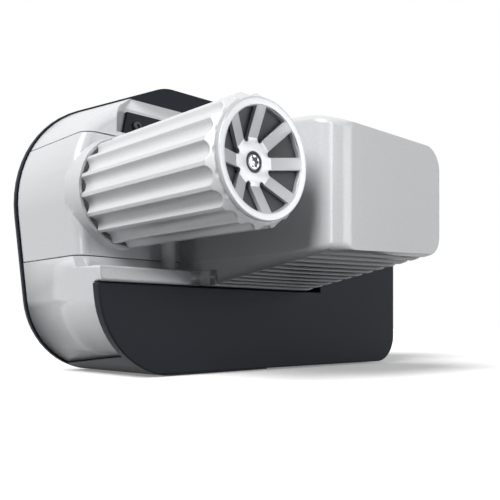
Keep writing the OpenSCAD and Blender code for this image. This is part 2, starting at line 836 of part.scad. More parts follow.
module lower_case() {
    color(silver) difference() {
        union() {
            difference() {
                case_slice(head_low, split_low - split_gap / 2);
                case_hollow(head_low + floor_t, split_low);
            }
            difference() {
                along_y(band_front, case_back) intersection() {
                    outline(case_inset);
                    union() {
                        span(-far, skirt_right, -far, head_low + 1);
                        difference() {
                            span(-far, lip_right, -far, rod_z - rod_d);
                            outline(case_inset + lip_t);
                        }
                    }
                }
                under_band(0);
            }
            along_y(panel_front, case_front + case_round + 1) intersection() {
                outline(case_inset);
                round_span(body_left - 20, ledge_right, head_low, ledge_top, 1.5);
            }
            translate([ledge_post_x, (panel_front + case_front) / 2, ledge_top - 1]) {
                cylinder(r = ledge_post_r, h = ledge_post_h - ledge_post_r + 1);
                translate([0, 0, ledge_post_h - ledge_post_r + 1]) sphere(ledge_post_r);
            }
            intersection() {
                screw_bosses(low_screws);
                box(-far, far, -far, far, head_low, split_low - split_gap / 2);
            }
        }
        for (y = rod_ys) rod_along_x(rod_d / 2, rod_left, skirt_right + 1, y, rod_z);
        rod_along_x(tube_d / 2, rod_left, skirt_right + 1, rod_y, rod_z);
        screw_holes(low_screws);
        box(motor_left, far, motor_front - 1, case_front, head_low - 1, motor_top);
    }
}

module case_back_plate() {
    color("#8D9196") difference() {
        along_y(back_plate_front, case_back) intersection() {
            outline(case_inset + case_wall - plate_land + thread_fit);
            span(-far, case_right - case_wall + plate_land - thread_fit, head_low + floor_t, body_top - 30);
        }
        rod_along_y(inter_shaft_d / 2 + 3, back_plate_front - 1, case_back - 2, inter_x, inter_z);
        rod_along_y(motor_shaft_d / 2 + 3, back_plate_front - 1, case_back - 2, motor_x, motor_z);
        for (p = case_screw_at) {
            rod_along_y(m6_r + hole_play, back_plate_front - 1, case_back + 1, p[0], p[1]);
            rod_along_y(m6_head_r + hole_play, case_back - m6_head_t, case_back + 1, p[0], p[1]);
        }
    }
}
module bearing_plate() {
    color("#8D9196") difference() {
        along_y(carrier_front, carrier_back) intersection() {
            outline(case_inset + case_wall + slide_gap);
            round_span(body_left, inter_x - inter_shaft_d / 2 - 1, -output_r - 9.5, output_r + 9.5, 6);
        }
        rod_along_y(rear_bearing_d / 2, carrier_front - 1, carrier_back + 1, roller_x, 0);
        for (p = carrier_at) rod_along_y(m6_r + hole_play, carrier_front - 1, carrier_back + 1, p[0], p[1]);
    }
}
module case_screws() {
    color("#6E7378") {
        for (p = case_screw_at) {
            seat = case_back - m6_head_t;
            rod_along_y(m6_r - thread_fit, back_plate_front - screw_len + 1, seat, p[0], p[1]);
            rod_along_y(m6_head_r, seat, case_back - head_sink, p[0], p[1]);
        }
        for (p = carrier_at) {
            rod_along_y(m6_r - thread_fit, carrier_front - screw_len + 1, carrier_back, p[0], p[1]);
            rod_along_y(m6_head_r, carrier_back, carrier_back + m6_head_t, p[0], p[1]);
        }
        for (p = housing_screw_at) {
            rod_along_y(m6_r - thread_fit, case_front - screw_len + 1, wall_in, p[0], p[1]);
            rod_along_y(m6_head_r, wall_in, wall_in + m6_head_t, p[0], p[1]);
        }
        for (x = cover_screw_x) {
            rod_along_y(m4_r - thread_fit, recess_y - lid_t, recess_y + case_wall, x, cover_screw_z);
            rod_along_y(m4_head_r, recess_y - lid_t - m4_head_t, recess_y - lid_t, x, cover_screw_z);
        }
    }
}

// Sliding head: the motor

// Share of the housing's draft reached at a place along Y
function draft(y) = min((y - motor_front) / (motor_len - 30), 1);
// Four discs at the corners of the housing's section
module housing_section(y) {
    top = motor_top + motor_rise * draft(y);
    low = motor_low_front + (head_low - motor_low_front) * draft(y);
    corners = [[motor_left, top, motor_edge_r, 1, -1], [motor_left, low, motor_edge_r, 1, 1],
        [motor_right, top, motor_corner_r, -1, -1], [motor_right, low, motor_low_r, -1, 1]];
    for (c = corners) rod_along_y(c[2], y, y + 0.1, c[0] + c[3] * c[2], c[1] + c[4] * c[2], $fn = 40);
}
module motor_housing() {
    color(silver) difference() {
        intersection() {
            hull() for (y = [motor_front, case_front - 30, case_front - 0.1]) housing_section(y);
            linear_extrude(2 * far, center = true) hull() {
                translate([motor_left + motor_end_r, motor_front + motor_end_r])
                    circle(motor_end_r, $fn = 96);
                translate([motor_right - motor_edge_r, motor_front + motor_edge_r]) circle(motor_edge_r);
                translate([motor_left, case_front - 1]) square([motor_right - motor_left, 1]);
            }
        }
        for (i = [0:slot_count - 1]) {
            y = motor_front + slot_first + i * slot_pitch;
            box(motor_left + slot_wall, far, y, y + slot_w, -far, motor_z - stator_d / 2 - 5);
        }
        rod_along_y(stator_d / 2 + thread_fit, stator_front, case_front + 1, motor_x, motor_z);
        rod_along_y(stator_d / 2 - 5, motor_nose, stator_front + 1, motor_x, motor_z);
        rod_along_y(motor_bearing_d / 2, motor_nose - motor_bearing_w, motor_nose + 1, motor_x, motor_z);
        difference() {
            box(motor_left + housing_wall, motor_right - housing_wall, stator_front, case_front + 1,
                motor_z - stator_d / 2 - 1, motor_top - 2 * housing_wall);
            rod_along_y(stator_d / 2 + 4, stator_front - 1, stator_back + 8, motor_x, motor_z);
            for (p = housing_screw_at)
                rod_along_y(boss_r, case_front - boss_len, case_front + 2, p[0], p[1]);
        }
        for (p = housing_screw_at) rod_along_y(m6_r, case_front - screw_len, case_front + 1, p[0], p[1]);
    }
}
module motor_stator() {
    color("#4A4D52")
        ring_along_y(stator_d / 2, rotor_d / 2 + air_gap, stator_front, stator_back, motor_x, motor_z);
}
module brush_plate() {
    holder = stator_d / 2 - 12;
    color("#3A3D42") {
        ring_along_y(stator_d / 2, commutator_d / 2 + 4, stator_back, stator_back + 4, motor_x, motor_z);
        for (x = [-1, 1])
            box(motor_x + x * holder - 9, motor_x + x * holder + 9, stator_back + 4, stator_back + 14,
                motor_z - 5, motor_z + 5);
    }
}
module motor_bearings() {
    outer = motor_bearing_d / 2;
    bore = motor_shaft_d / 2 + run_gap;
    color(steel) {
        ring_along_y(outer, bore, motor_nose - motor_bearing_w, motor_nose, motor_x, motor_z);
        ring_along_y(outer, bore, case_front, wall_in, motor_x, motor_z);
    }
}

// Sliding head: guides and bearings

module guide_rods() {
    color("#C4C8CC") for (y = rod_ys) rod_along_x(rod_d / 2, rod_left, rod_right, y, rod_z);
}
module thrust_tube() {
    color(steel) difference() {
        rod_along_x(tube_d / 2, rod_left, nut_left, rod_y, rod_z);
        rod_along_x(screw_d / 2 + 1.5, rod_left + 8, nut_left + 1, rod_y, rod_z);
    }
}
module screw_nut() {
    color(bronze) difference() {
        rod_along_x(tube_d / 2, nut_left, nut_right, rod_y, rod_z);
        rod_along_x(screw_d / 2 + run_gap, nut_left - 1, nut_right + 1, rod_y, rod_z);
    }
}
module front_bearing() {
    color(steel)
        ring_along_y(front_bearing_d / 2, shaft_d / 2 + run_gap, bearing_front, bearing_back, roller_x, 0);
}
module rear_bearing() {
    color(steel)
        ring_along_y(rear_bearing_d / 2, journal_d / 2 + run_gap, carrier_front, carrier_back, roller_x, 0);
}
module shaft_seal() {
    color("#202225")
        ring_along_y(seal_d / 2, shaft_d / 2 + run_gap, seal_front + head_sink, bearing_front, roller_x, 0);
}
module gear_bushes() {
    color(bronze) {
        ring_along_y(inter_shaft_d / 2 + 3, inter_shaft_d / 2 + run_gap, bearing_back - 10, bearing_back,
            inter_x, inter_z);
        ring_along_y(inter_shaft_d / 2 + 3, inter_shaft_d / 2 + run_gap, back_plate_front, case_back - 2,
            inter_x, inter_z);
        ring_along_y(motor_shaft_d / 2 + 3, motor_shaft_d / 2 + run_gap, back_plate_front, case_back - 2,
            motor_x, motor_z);
    }
}

// Roller

module drive_roller() {
    flute_r = flute_d / 2;
    flute_axis = roller_r - flute_depth + flute_r;
    flute_start = rim_back + shoulder_len + flute_r;
    color(bright) difference() {
        rod_along_y(roller_r, rim_back, roller_far, roller_x, 0);
        rod_along_y(cavity_r, rim_back - 1, rim_back + hollow_depth, roller_x, 0);
        rod_along_y(rim_r - 2.5, rim_back - 1, rim_back + 4, roller_x, 0);
        rod_along_y(shaft_d / 2, rim_back, roller_far + 1, roller_x, 0);
        for (i = [0:flute_count - 1]) translate([roller_x, 0, 0]) rotate([0, i * 360 / flute_count, 0]) {
            rod_along_y(flute_r, flute_start, roller_far + 1, flute_axis, 0);
            translate([flute_axis, flute_start, 0]) sphere(flute_r);
            rod_along_y(flute_r * 0.6, rim_back - 1, rim_back + 1.8, roller_r + 1, 0);
        }
    }
}
module window_2d() {
    half = 180 / spoke_count;
    apex = spoke_w / 2 / sin(half);
    centre = apex + window_end_r / sin(half);
    outer = rim_r - rim_w - rim_land / 2;
    touch = [centre - window_end_r * sin(half), window_end_r * cos(half)];
    reach = far / 4;
    intersection() {
        circle(outer);
        union() {
            translate([centre, 0]) circle(window_end_r);
            polygon([[touch[0], -touch[1]], [apex + reach * cos(half), -reach * sin(half)],
                [apex + reach * cos(half), reach * sin(half)], [touch[0], touch[1]]]);
        }
    }
}
module roller_cap() {
    spoke_front = roller_near + spoke_set;
    inner_r = rim_r - rim_w;
    color(bright) difference() {
        union() {
            ring_along_y(rim_r, inner_r, roller_near, rim_back, roller_x, 0);
            rod_along_y(inner_r + 0.2, spoke_front, spoke_front + spoke_t, roller_x, 0);
            cone_along_y(inner_r + 0.2, hub_r, spoke_front + spoke_t - eps, hub_front + spoke_t, roller_x, 0);
            ring_along_y(rim_r - 2.5, inner_r - 1.5, rim_back - eps, rim_back + 4, roller_x, 0);
            rod_along_y(cap_recess_d / 2 + 3.5, hub_front, hub_back, roller_x, 0);
        }
        cone_along_y(inner_r - rim_land, hub_r, spoke_front, hub_front, roller_x, 0);
        translate([roller_x, 0, 0]) along_y(spoke_front - 1, hub_front + spoke_t + 1)
            for (i = [0:spoke_count - 1]) rotate((i + 0.5) * 360 / spoke_count + cap_turn) window_2d();
        rod_along_y(cap_recess_d / 2, roller_near, cap_seat, roller_x, 0);
        rod_along_y(m6_r + hole_play, roller_near, hub_back + 1, roller_x, 0);
    }
}
module cap_insert() {
    color("#3B3F42") difference() {
        rod_along_y(cavity_r, hub_back, hub_back + 3, roller_x, 0);
        rod_along_y(shaft_d / 2, hub_back - 1, hub_back + 4, roller_x, 0);
    }
}
module cap_screw() {
    color("#D5D8DB") difference() {
        union() {
            rod_along_y(cap_head_d / 2, cap_seat - 4, cap_seat, roller_x, 0);
            rod_along_y(m6_r, cap_seat - eps, hub_back + screw_len, roller_x, 0);
        }
        translate([roller_x, cap_seat - 1.5, 0]) rotate([90, 0, 0]) cylinder(r = 2.9, h = 4, $fn = 6);
    }
}
module roller_shaft() {
    color("#B4B9BE") difference() {
        union() {
            rod_along_y(shaft_d / 2, hub_back, carrier_front, roller_x, 0);
            rod_along_y(journal_d / 2, carrier_front - eps, shaft_end, roller_x, 0);
        }
        rod_along_y(m6_r, hub_back - 1, hub_back + 2 + screw_len, roller_x, 0);
    }
}
module output_gear() {
    color("#7F858B")
        gear(roller_module, output_teeth, output_front, output_back, roller_x, 0, roller_angle, shaft_d / 2);
}

// Rotor and intermediate shaft

module motor_rotor() {
    color("#A87B4F") {
        rod_along_y(rotor_d / 2, stator_front + 4, stator_back - 4, motor_x, motor_z);
        rod_along_y(commutator_d / 2, stator_back - 5, stator_back + 16, motor_x, motor_z);
    }
    color(steel)
        rod_along_y(motor_shaft_d / 2, motor_nose - motor_bearing_w + 1, case_back - 3, motor_x, motor_z);
}
module motor_pinion() {
    color("#7F858B") gear(motor_module, pinion_teeth, inter_front - 1, inter_back + 1, motor_x, motor_z,
        motor_angle + 180 + 180 / pinion_teeth, motor_shaft_d / 2);
}
module inter_shaft() {
    color("#B4B9BE") rod_along_y(inter_shaft_d / 2, bearing_back - 9, case_back - 3, inter_x, inter_z);
}
module inter_gear() {
    color("#7F858B") gear(motor_module, inter_teeth, inter_front, inter_back, inter_x, inter_z, motor_angle,
        inter_shaft_d / 2);
}
module inter_pinion() {
    color("#7F858B") gear(roller_module, small_teeth, output_front - 1, output_back + 1, inter_x, inter_z,
        roller_angle + 180 + 180 / small_teeth, inter_shaft_d / 2);
}
module lead_screw() {
    color("#C4C8CC") rod_along_x(screw_d / 2, screw_left, engage_left + 11, rod_y, rod_z);
}

rear_cover();
base_tray();
bottom_skid();
mounting_plate();
plate_screws();
crossbar_socket();
socket_screws();
cable_gland();
guide_bushes();
engage_motor();
thrust_collar();
control_board();
board_posts();
base_screws();
gear_case();
upper_case();
lower_case();
inspection_cover();
case_back_plate();
bearing_plate();
case_screws();
motor_housing();
motor_stator();
brush_plate();
motor_bearings();
guide_rods();
thrust_tube();
screw_nut();
front_bearing();
rear_bearing();
shaft_seal();
gear_bushes();
drive_roller();
roller_cap();
cap_insert();
cap_screw();
roller_shaft();
output_gear();
motor_rotor();
motor_pinion();
inter_shaft();
inter_gear();
inter_pinion();
lead_screw();
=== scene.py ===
import json
import math
import bmesh
import bpy
from mathutils import Matrix, Vector, kdtree
from mathutils.bvhtree import BVHTree


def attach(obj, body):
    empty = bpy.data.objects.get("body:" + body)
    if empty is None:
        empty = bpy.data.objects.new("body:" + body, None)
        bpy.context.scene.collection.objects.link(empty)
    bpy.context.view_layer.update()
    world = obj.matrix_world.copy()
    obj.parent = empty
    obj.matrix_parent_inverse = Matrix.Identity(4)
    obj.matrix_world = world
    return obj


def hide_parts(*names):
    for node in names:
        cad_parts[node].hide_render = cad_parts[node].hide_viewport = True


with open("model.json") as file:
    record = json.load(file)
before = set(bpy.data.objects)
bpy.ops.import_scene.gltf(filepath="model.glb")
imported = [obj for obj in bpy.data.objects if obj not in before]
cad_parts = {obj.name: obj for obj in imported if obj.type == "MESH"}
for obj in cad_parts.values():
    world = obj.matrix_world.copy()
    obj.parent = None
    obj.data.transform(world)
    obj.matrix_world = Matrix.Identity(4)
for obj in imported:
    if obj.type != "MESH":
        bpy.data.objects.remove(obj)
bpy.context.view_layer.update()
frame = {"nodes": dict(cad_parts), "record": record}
scene = bpy.context.scene
mm = 0.001
# points nearer to each other than this are one point, in metres
samePoint = 2e-6
# axes that turn, all along Y: their X and Z in millimetres
rollerAxis, motorAxis = (-125, 0), (-15, -4)
print("frame loaded:", len(frame["nodes"]), "nodes")


# linear colour of a screen colour
def linear(hexText):
    out = []
    for i in (1, 3, 5):
        c = int(hexText[i:i + 2], 16) / 255
        out.append(c / 12.92 if c <= 0.04045 else ((c + 0.055) / 1.055) ** 2.4)
    return (*out, 1)


def addNode(tree, kind, inputs=None, links=None, **settings):
    node = tree.nodes.new(kind)
    for name, value in settings.items():
        setattr(node, name, value)
    for name, value in (inputs or {}).items():
        node.inputs[name].default_value = value
    for name, (source, output) in (links or {}).items():
        tree.links.new(source.outputs[output], node.inputs[name])
    return node


# a material, its tree and shader, and the links that lay a pattern in object coordinates
def newFinish(name, color, metallic, roughness):
    mat = bpy.data.materials.new(name)
    mat.use_nodes = True
    tree = mat.node_tree
    shader = tree.nodes["Principled BSDF"]
    shader.inputs["Base Color"].default_value = linear(color)
    shader.inputs["Metallic"].default_value = metallic
    shader.inputs["Roughness"].default_value = roughness
    coord = addNode(tree, "ShaderNodeTexCoord")
    return mat, tree, shader, {"Vector": (coord, "Object")}


# texture scale for a pattern of that many millimetres
def perMm(size):
    return 1 / (size * mm)


# shift of an axis to the middle of a pattern
def centredOn(axis):
    return (-axis[0] * mm, 0, -axis[1] * mm)


# joins a pattern to the shader: two colours, a roughness range and a bump, each where given
def wear(shader, pattern, colors=None, rough=None, bump=None, output="Fac"):
    tree = shader.id_data
    if colors:
        ramp = addNode(tree, "ShaderNodeValToRGB", links={"Fac": (pattern, output)})
        ramp.color_ramp.elements[0].color = linear(colors[0])
        ramp.color_ramp.elements[1].color = linear(colors[1])
        tree.links.new(ramp.outputs["Color"], shader.inputs["Base Color"])
    if rough:
        span = addNode(tree, "ShaderNodeMapRange", {"To Min": rough[0], "To Max": rough[1]},
                       {"Value": (pattern, output)})
        tree.links.new(span.outputs["Result"], shader.inputs["Roughness"])
    if bump:
        dent = addNode(tree, "ShaderNodeBump", {"Strength": bump[0], "Distance": bump[1] * mm},
                       {"Height": (pattern, output)})
        tree.links.new(dent.outputs["Normal"], shader.inputs["Normal"])


# under the motor, where the spray hardly reaches, the coat fades to thin and matt over these millimetres
thinCoat = {"fade": {"Z": (-44, -52), "X": (-84, -78)},
            "looks": {"Roughness": 0.75, "Specular IOR Level": 0.02, "Metallic": 0}}


# silver powder coat over die-cast aluminium: satin, fine orange peel, flake that varies the tone
def makeSilverPowderCoat():
    mat, tree, shader, onObject = newFinish("silverPowderCoat", "#C6C8CA", 0.04, 0.24)
    shader.inputs["Specular IOR Level"].default_value = 0.22
    flake = addNode(tree, "ShaderNodeTexVoronoi", {"Scale": perMm(0.8)}, onObject)
    wear(shader, flake, colors=("#CDCED0", "#C1C3C5"), output="Distance")
    cloud = addNode(tree, "ShaderNodeTexNoise", {"Scale": perMm(40), "Detail": 3}, onObject)
    wear(shader, cloud, rough=(0.2, 0.28))
    peel = addNode(tree, "ShaderNodeTexNoise", {"Scale": perMm(1.5), "Detail": 2}, onObject)
    wear(shader, peel, bump=(0.03, 0.1))
    place = addNode(tree, "ShaderNodeSeparateXYZ", links=onObject)
    below, beside = [addNode(tree, "ShaderNodeMapRange", {"From Min": none * mm, "From Max": full * mm},
                             {"Value": (place, axis)}) for axis, (none, full) in thinCoat["fade"].items()]
    bare = addNode(tree, "ShaderNodeMath", links={0: (below, "Result"), 1: (beside, "Result")},
                   operation="MULTIPLY")
    for name, thin in thinCoat["looks"].items():
        socket = shader.inputs[name]
        mixed = addNode(tree, "ShaderNodeMapRange", {"To Min": socket.default_value, "To Max": thin},
                        {"Value": (bare, "Value")})
        if socket.is_linked:
            tree.links.new(socket.links[0].from_socket, mixed.inputs["To Min"])
        tree.links.new(mixed.outputs["Result"], socket)
    return mat


# moulded ABS, blue black: fine spark-eroded grain, slightly uneven gloss
def makeDarkAbs():
    mat, tree, shader, onObject = newFinish("darkAbs", "#181C24", 0, 0.42)
    shader.inputs["Specular IOR Level"].default_value = 0.1
    cloud = addNode(tree, "ShaderNodeTexNoise", {"Scale": perMm(60), "Detail": 4}, onObject)
    wear(shader, cloud, colors=("#14181F", "#1B2029"), rough=(0.36, 0.48))
    grain = addNode(tree, "ShaderNodeTexNoise", {"Scale": perMm(0.9), "Detail": 3}, onObject)
    wear(shader, grain, bump=(0.12, 0.08))
    return mat


# blackened steel of the small cover screws: oily, nearly no colour
def makeBlackOxide():
    mat, tree, shader, onObject = newFinish("blackOxideSteel", "#2A2C2E", 0.6, 0.45)
    oil = addNode(tree, "ShaderNodeTexNoise", {"Scale": perMm(1.5), "Detail": 4}, onObject)
    wear(shader, oil, colors=("#232527", "#34373A"), rough=(0.36, 0.54), bump=(0.08, 0.05))
    return mat


# smooth black polyamide of gland and skid
def makeBlackNylon():
    mat, tree, shader, onObject = newFinish("blackNylon", "#17191C", 0, 0.5)
    cloud = addNode(tree, "ShaderNodeTexNoise", {"Scale": perMm(8), "Detail": 5}, onObject)
    wear(shader, cloud, colors=("#141619", "#1E2125"), rough=(0.42, 0.6), bump=(0.08, 0.1))
    return mat


# blasted and satin anodised aluminium of the roller: soft grain under a bright skin
def makeSatinAnodised():
    mat, tree, shader, onObject = newFinish("satinAnodisedAluminium", "#D0D1D2", 0.2, 0.42)
    grain = addNode(tree, "ShaderNodeTexNoise", {"Scale": perMm(0.8), "Detail": 4}, onObject)
    wear(shader, grain, colors=("#C9CACB", "#D7D8D9"), bump=(0.1, 0.06))
    cloud = addNode(tree, "ShaderNodeTexNoise", {"Scale": perMm(14), "Detail": 3}, onObject)
    wear(shader, cloud, rough=(0.36, 0.48))
    return mat


# turned aluminium of the cap: fine rings round the roller's axis
def makeTurnedAluminium():
    mat, tree, shader, onObject = newFinish("turnedAluminium", "#B4B6B8", 0.45, 0.42)
    centre = addNode(tree, "ShaderNodeMapping", {"Location": centredOn(rollerAxis)}, onObject)
    flat = addNode(tree, "ShaderNodeVectorMath", {1: (1, 0, 1)}, {0: (centre, "Vector")},
                   operation="MULTIPLY")
    radius = addNode(tree, "ShaderNodeVectorMath", links={0: (flat, "Vector")}, operation="LENGTH")
    rings = addNode(tree, "ShaderNodeTexNoise", {"Scale": perMm(0.35), "Detail": 2}, {"W": (radius, "Value")},
                    noise_dimensions="1D")
    wear(shader, rings, colors=("#ABADAF", "#BCBEC0"), rough=(0.36, 0.48), bump=(0.12, 0.05))
    return mat


# polished chrome plate of the centre screw, faintly hazed
def makeChromePlate():
    mat, tree, shader, onObject = newFinish("chromePlate", "#94989D", 1, 0.2)
    haze = addNode(tree, "ShaderNodeTexNoise", {"Scale": perMm(1.2), "Detail": 3}, onObject)
    wear(shader, haze, colors=("#8A8E93", "#9EA2A6"), rough=(0.15, 0.26))
    return mat


# zinc plated steel of brackets and screws: spangle with a faint blue and yellow cast
def makeZincPlate():
    mat, tree, shader, onObject = newFinish("zincPlatedSteel", "#A9ADB2", 1, 0.38)
    spangle = addNode(tree, "ShaderNodeTexVoronoi", {"Scale": perMm(5)}, onObject)
    wear(shader, spangle, colors=("#A4A9B0", "#B4B3AA"), rough=(0.3, 0.46), output="Distance")
    brush = addNode(tree, "ShaderNodeTexNoise", {"Scale": perMm(0.7), "Detail": 3}, onObject)
    wear(shader, brush, bump=(0.08, 0.06))
    return mat


# ground steel of shafts, rods and rings: fine grinding marks across the length
def makeGroundSteel():
    mat, tree, shader, onObject = newFinish("groundSteel", "#BFC2C5", 1, 0.24)
    stretch = addNode(tree, "ShaderNodeMapping", {"Scale": (1, 1, 0.06)}, onObject)
    marks = addNode(tree, "ShaderNodeTexNoise", {"Scale": perMm(0.5), "Detail": 3},
                    {"Vector": (stretch, "Vector")})
    wear(shader, marks, colors=("#B4B7BB", "#C9CBCD"), rough=(0.18, 0.32), bump=(0.06, 0.04))
    return mat


# hobbed gear steel, oiled and phosphated: dark, patchy sheen
def makeGearSteel():
    mat, tree, shader, onObject = newFinish("phosphatedGearSteel", "#6D7176", 1, 0.42)
    oil = addNode(tree, "ShaderNodeTexNoise", {"Scale": perMm(6), "Detail": 5}, onObject)
    wear(shader, oil, colors=("#5C6065", "#7E8287"), rough=(0.28, 0.55), bump=(0.08, 0.05))
    return mat


# sand-cast aluminium of the inner plates: grainy, unpainted
def makeCastAluminium():
    mat, tree, shader, onObject = newFinish("sandCastAluminium", "#A6A8AA", 0.85, 0.52)
    sand = addNode(tree, "ShaderNodeTexNoise", {"Scale": perMm(1.1), "Detail": 5, "Roughness": 0.7}, onObject)
    wear(shader, sand, colors=("#989A9D", "#B3B5B7"), rough=(0.44, 0.62), bump=(0.3, 0.2))
    return mat


# sintered bronze of bushes and nut: open pores, oil dark in places
def makeSinteredBronze():
    mat, tree, shader, onObject = newFinish("sinteredBronze", "#B48C52", 1, 0.4)
    pores = addNode(tree, "ShaderNodeTexVoronoi", {"Scale": perMm(0.6)}, onObject)
    wear(shader, pores, colors=("#8E6B3B", "#C09A60"), rough=(0.34, 0.5), bump=(0.15, 0.05),
         output="Distance")
    return mat


# nitrile rubber of the seals
def makeNitrileRubber():
    mat, tree, shader, onObject = newFinish("nitrileRubber", "#1B1C1D", 0, 0.62)
    bloom = addNode(tree, "ShaderNodeTexNoise", {"Scale": perMm(3), "Detail": 4}, onObject)
    wear(shader, bloom, colors=("#161718", "#232426"), rough=(0.55, 0.72), bump=(0.1, 0.08))
    return mat


# dark grey glass-filled polyamide behind the cap's windows
def makeGreyNylon():
    mat, tree, shader, onObject = newFinish("greyGlassFilledNylon", "#34383A", 0, 0.48)
    fibre = addNode(tree, "ShaderNodeTexNoise", {"Scale": perMm(2), "Detail": 5, "Roughness": 0.65}, onObject)
    wear(shader, fibre, colors=("#2C3032", "#393D40"), rough=(0.4, 0.56), bump=(0.12, 0.1))
    return mat


# black stoved enamel of motor cans
def makeStovedEnamel():
    mat, tree, shader, onObject = newFinish("blackStovedEnamel", "#2B2D30", 0.1, 0.34)
    drip = addNode(tree, "ShaderNodeTexNoise", {"Scale": perMm(5), "Detail": 3}, onObject)
    wear(shader, drip, colors=("#26282B", "#323438"), rough=(0.26, 0.42), bump=(0.1, 0.1))
    return mat


# enamelled copper windings: wires along the armature; a wave's scale counts twentieths
def makeCopperWinding():
    mat, tree, shader, onObject = newFinish("enamelledCopper", "#A5622F", 0.9, 0.32)
    centre = addNode(tree, "ShaderNodeMapping", {"Location": centredOn(motorAxis)}, onObject)
    wires = addNode(tree, "ShaderNodeTexWave", {"Scale": perMm(1.6) / 20, "Distortion": 1.5},
                    {"Vector": (centre, "Vector")}, wave_type="RINGS", rings_direction="Y")
    wear(shader, wires, colors=("#7E4620", "#B9743C"), rough=(0.26, 0.4), bump=(0.3, 0.3))
    return mat


# glass epoxy board under green solder mask, with copper runs showing through
def makeCircuitBoard():
    mat, tree, shader, onObject = newFinish("greenSolderMask", "#1C5A38", 0, 0.3)
    runs = addNode(tree, "ShaderNodeTexBrick", {"Scale": perMm(5), "Mortar Size": 0.06}, onObject)
    wear(shader, runs, colors=("#174C2F", "#2B7A4C"), rough=(0.24, 0.36), bump=(0.2, 0.1))
    return mat


finish = {
    "silver_paint": makeSilverPowderCoat(), "dark_plastic": makeDarkAbs(), "skid_plastic": makeBlackNylon(),
    "satin_aluminium": makeSatinAnodised(), "turned_aluminium": makeTurnedAluminium(),
    "chrome_steel": makeChromePlate(), "plated_steel": makeZincPlate(), "ground_steel": makeGroundSteel(),
    "gear_steel": makeGearSteel(), "cast_aluminium": makeCastAluminium(), "bronze": makeSinteredBronze(),
    "rubber": makeNitrileRubber(), "window_plastic": makeGreyNylon(), "motor_iron": makeStovedEnamel(),
    "copper_wound": makeCopperWinding(), "circuit_board": makeCircuitBoard(), "black_oxide": makeBlackOxide(),
}
nodeSlot = {p["node"]: p["material_slot"] for p in frame["record"]["subparts"]}
for nodeName, obj in frame["nodes"].items():
    obj.data.materials.clear()
    obj.data.materials.append(finish[nodeSlot[nodeName]])
print("finishes made:", len(finish))


def addObject(name, data):
    obj = bpy.data.objects.new(name, data)
    scene.collection.objects.link(obj)
    return obj


# a piece that is seen: its body, its slot, the CAD nodes it stands for, and any finish but the slot's own
def addPiece(name, mesh, body, slotName, *nodes, material=None):
    mesh.materials.clear()
    mesh.materials.append(material or finish[slotName])
    obj = addObject(name, mesh)
    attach(obj, body)
    if nodes:
        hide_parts(*nodes)


def tidyMesh(mesh, angle):
    bm = bmesh.new()
    bm.from_mesh(mesh)
    bmesh.ops.remove_doubles(bm, verts=bm.verts, dist=samePoint)
    bmesh.ops.recalc_face_normals(bm, faces=bm.faces)
    bm.to_mesh(mesh)
    bm.free()
    mesh.shade_smooth()
    mesh.set_sharp_from_angle(angle=math.radians(angle))
    return mesh


# rings of points in millimetres, skinned into a closed mesh; a loop joins the last ring to the first
def skinRings(name, rings, loop=False):
    count = len(rings[0])
    verts = [Vector(p) * mm for ring in rings for p in ring]
    faces = []
    for i in range(len(rings) if loop else len(rings) - 1):
        j = (i + 1) % len(rings)
        for k in range(count):
            n = (k + 1) % count
            faces.append((i * count + k, i * count + n, j * count + n, j * count + k))
    if not loop:
        faces.append(tuple(reversed(range(count))))
        faces.append(tuple(range((len(rings) - 1) * count, len(rings) * count)))
    mesh = bpy.data.meshes.new(name)
    mesh.from_pydata(verts, [], faces)
    mesh.update()
    return mesh


# a ring of points round an axis; its radius is a number or depends on the angle
def ringAt(axis, y, radius, count):
    ring = []
    for k in range(count):
        a = 2 * math.pi * k / count
        r = radius(a) if callable(radius) else radius
        ring.append((axis[0] + r * math.cos(a), y, axis[1] + r * math.sin(a)))
    return ring


# a profile of radius and Y, turned round an axis
def lathe(name, profile, axis, count=144, loop=True):
    return skinRings(name, [ringAt(axis, y, r, count) for r, y in profile], loop)


# points along an arc, angles in degrees
def arc(x, y, r, start, sweep, steps=12):
    angles = [math.radians(start + sweep * k / steps) for k in range(steps + 1)]
    return [(x + r * math.cos(a), y + r * math.sin(a)) for a in angles]


# a closed outline with round corners, which take no more than a share of a side
def roundedProfile(points, radius, steps=4, sideShare=0.45):
    out = []
    n = len(points)
    for i, p in enumerate(points):
        a, b, c = Vector(points[i - 1]), Vector(p), Vector(points[(i + 1) % n])
        r = min(radius, (a - b).length * sideShare, (c - b).length * sideShare)
        start, end = b + (a - b).normalized() * r, b + (c - b).normalized() * r
        for k in range(steps + 1):
            t = k / steps
            out.append(tuple(start.lerp(b, t).lerp(b.lerp(end, t), t)))
    return out


# plain mesh of an object with its modifiers
def settledMesh(obj):
    graph = bpy.context.evaluated_depsgraph_get()
    graph.update()
    return bpy.data.meshes.new_from_object(obj.evaluated_get(graph), preserve_all_data_layers=True,
                                           depsgraph=graph)


def cutAway(mesh, cutters):
    body = addObject("cutBody", mesh)
    for cutter in cutters:
        mod = body.modifiers.new("cut", "BOOLEAN")
        mod.operation = "DIFFERENCE"
        mod.solver = "EXACT"
        mod.object = cutter
    out = settledMesh(body)
    for obj in [body, *cutters]:
        bpy.data.objects.remove(obj)
    return out


rounding = {"flatAngle": 0.4, "sharpAngle": 40, "tries": 6, "normalWeight": 80, "strayShare": 1.1,
            "keepOff": 2.5}


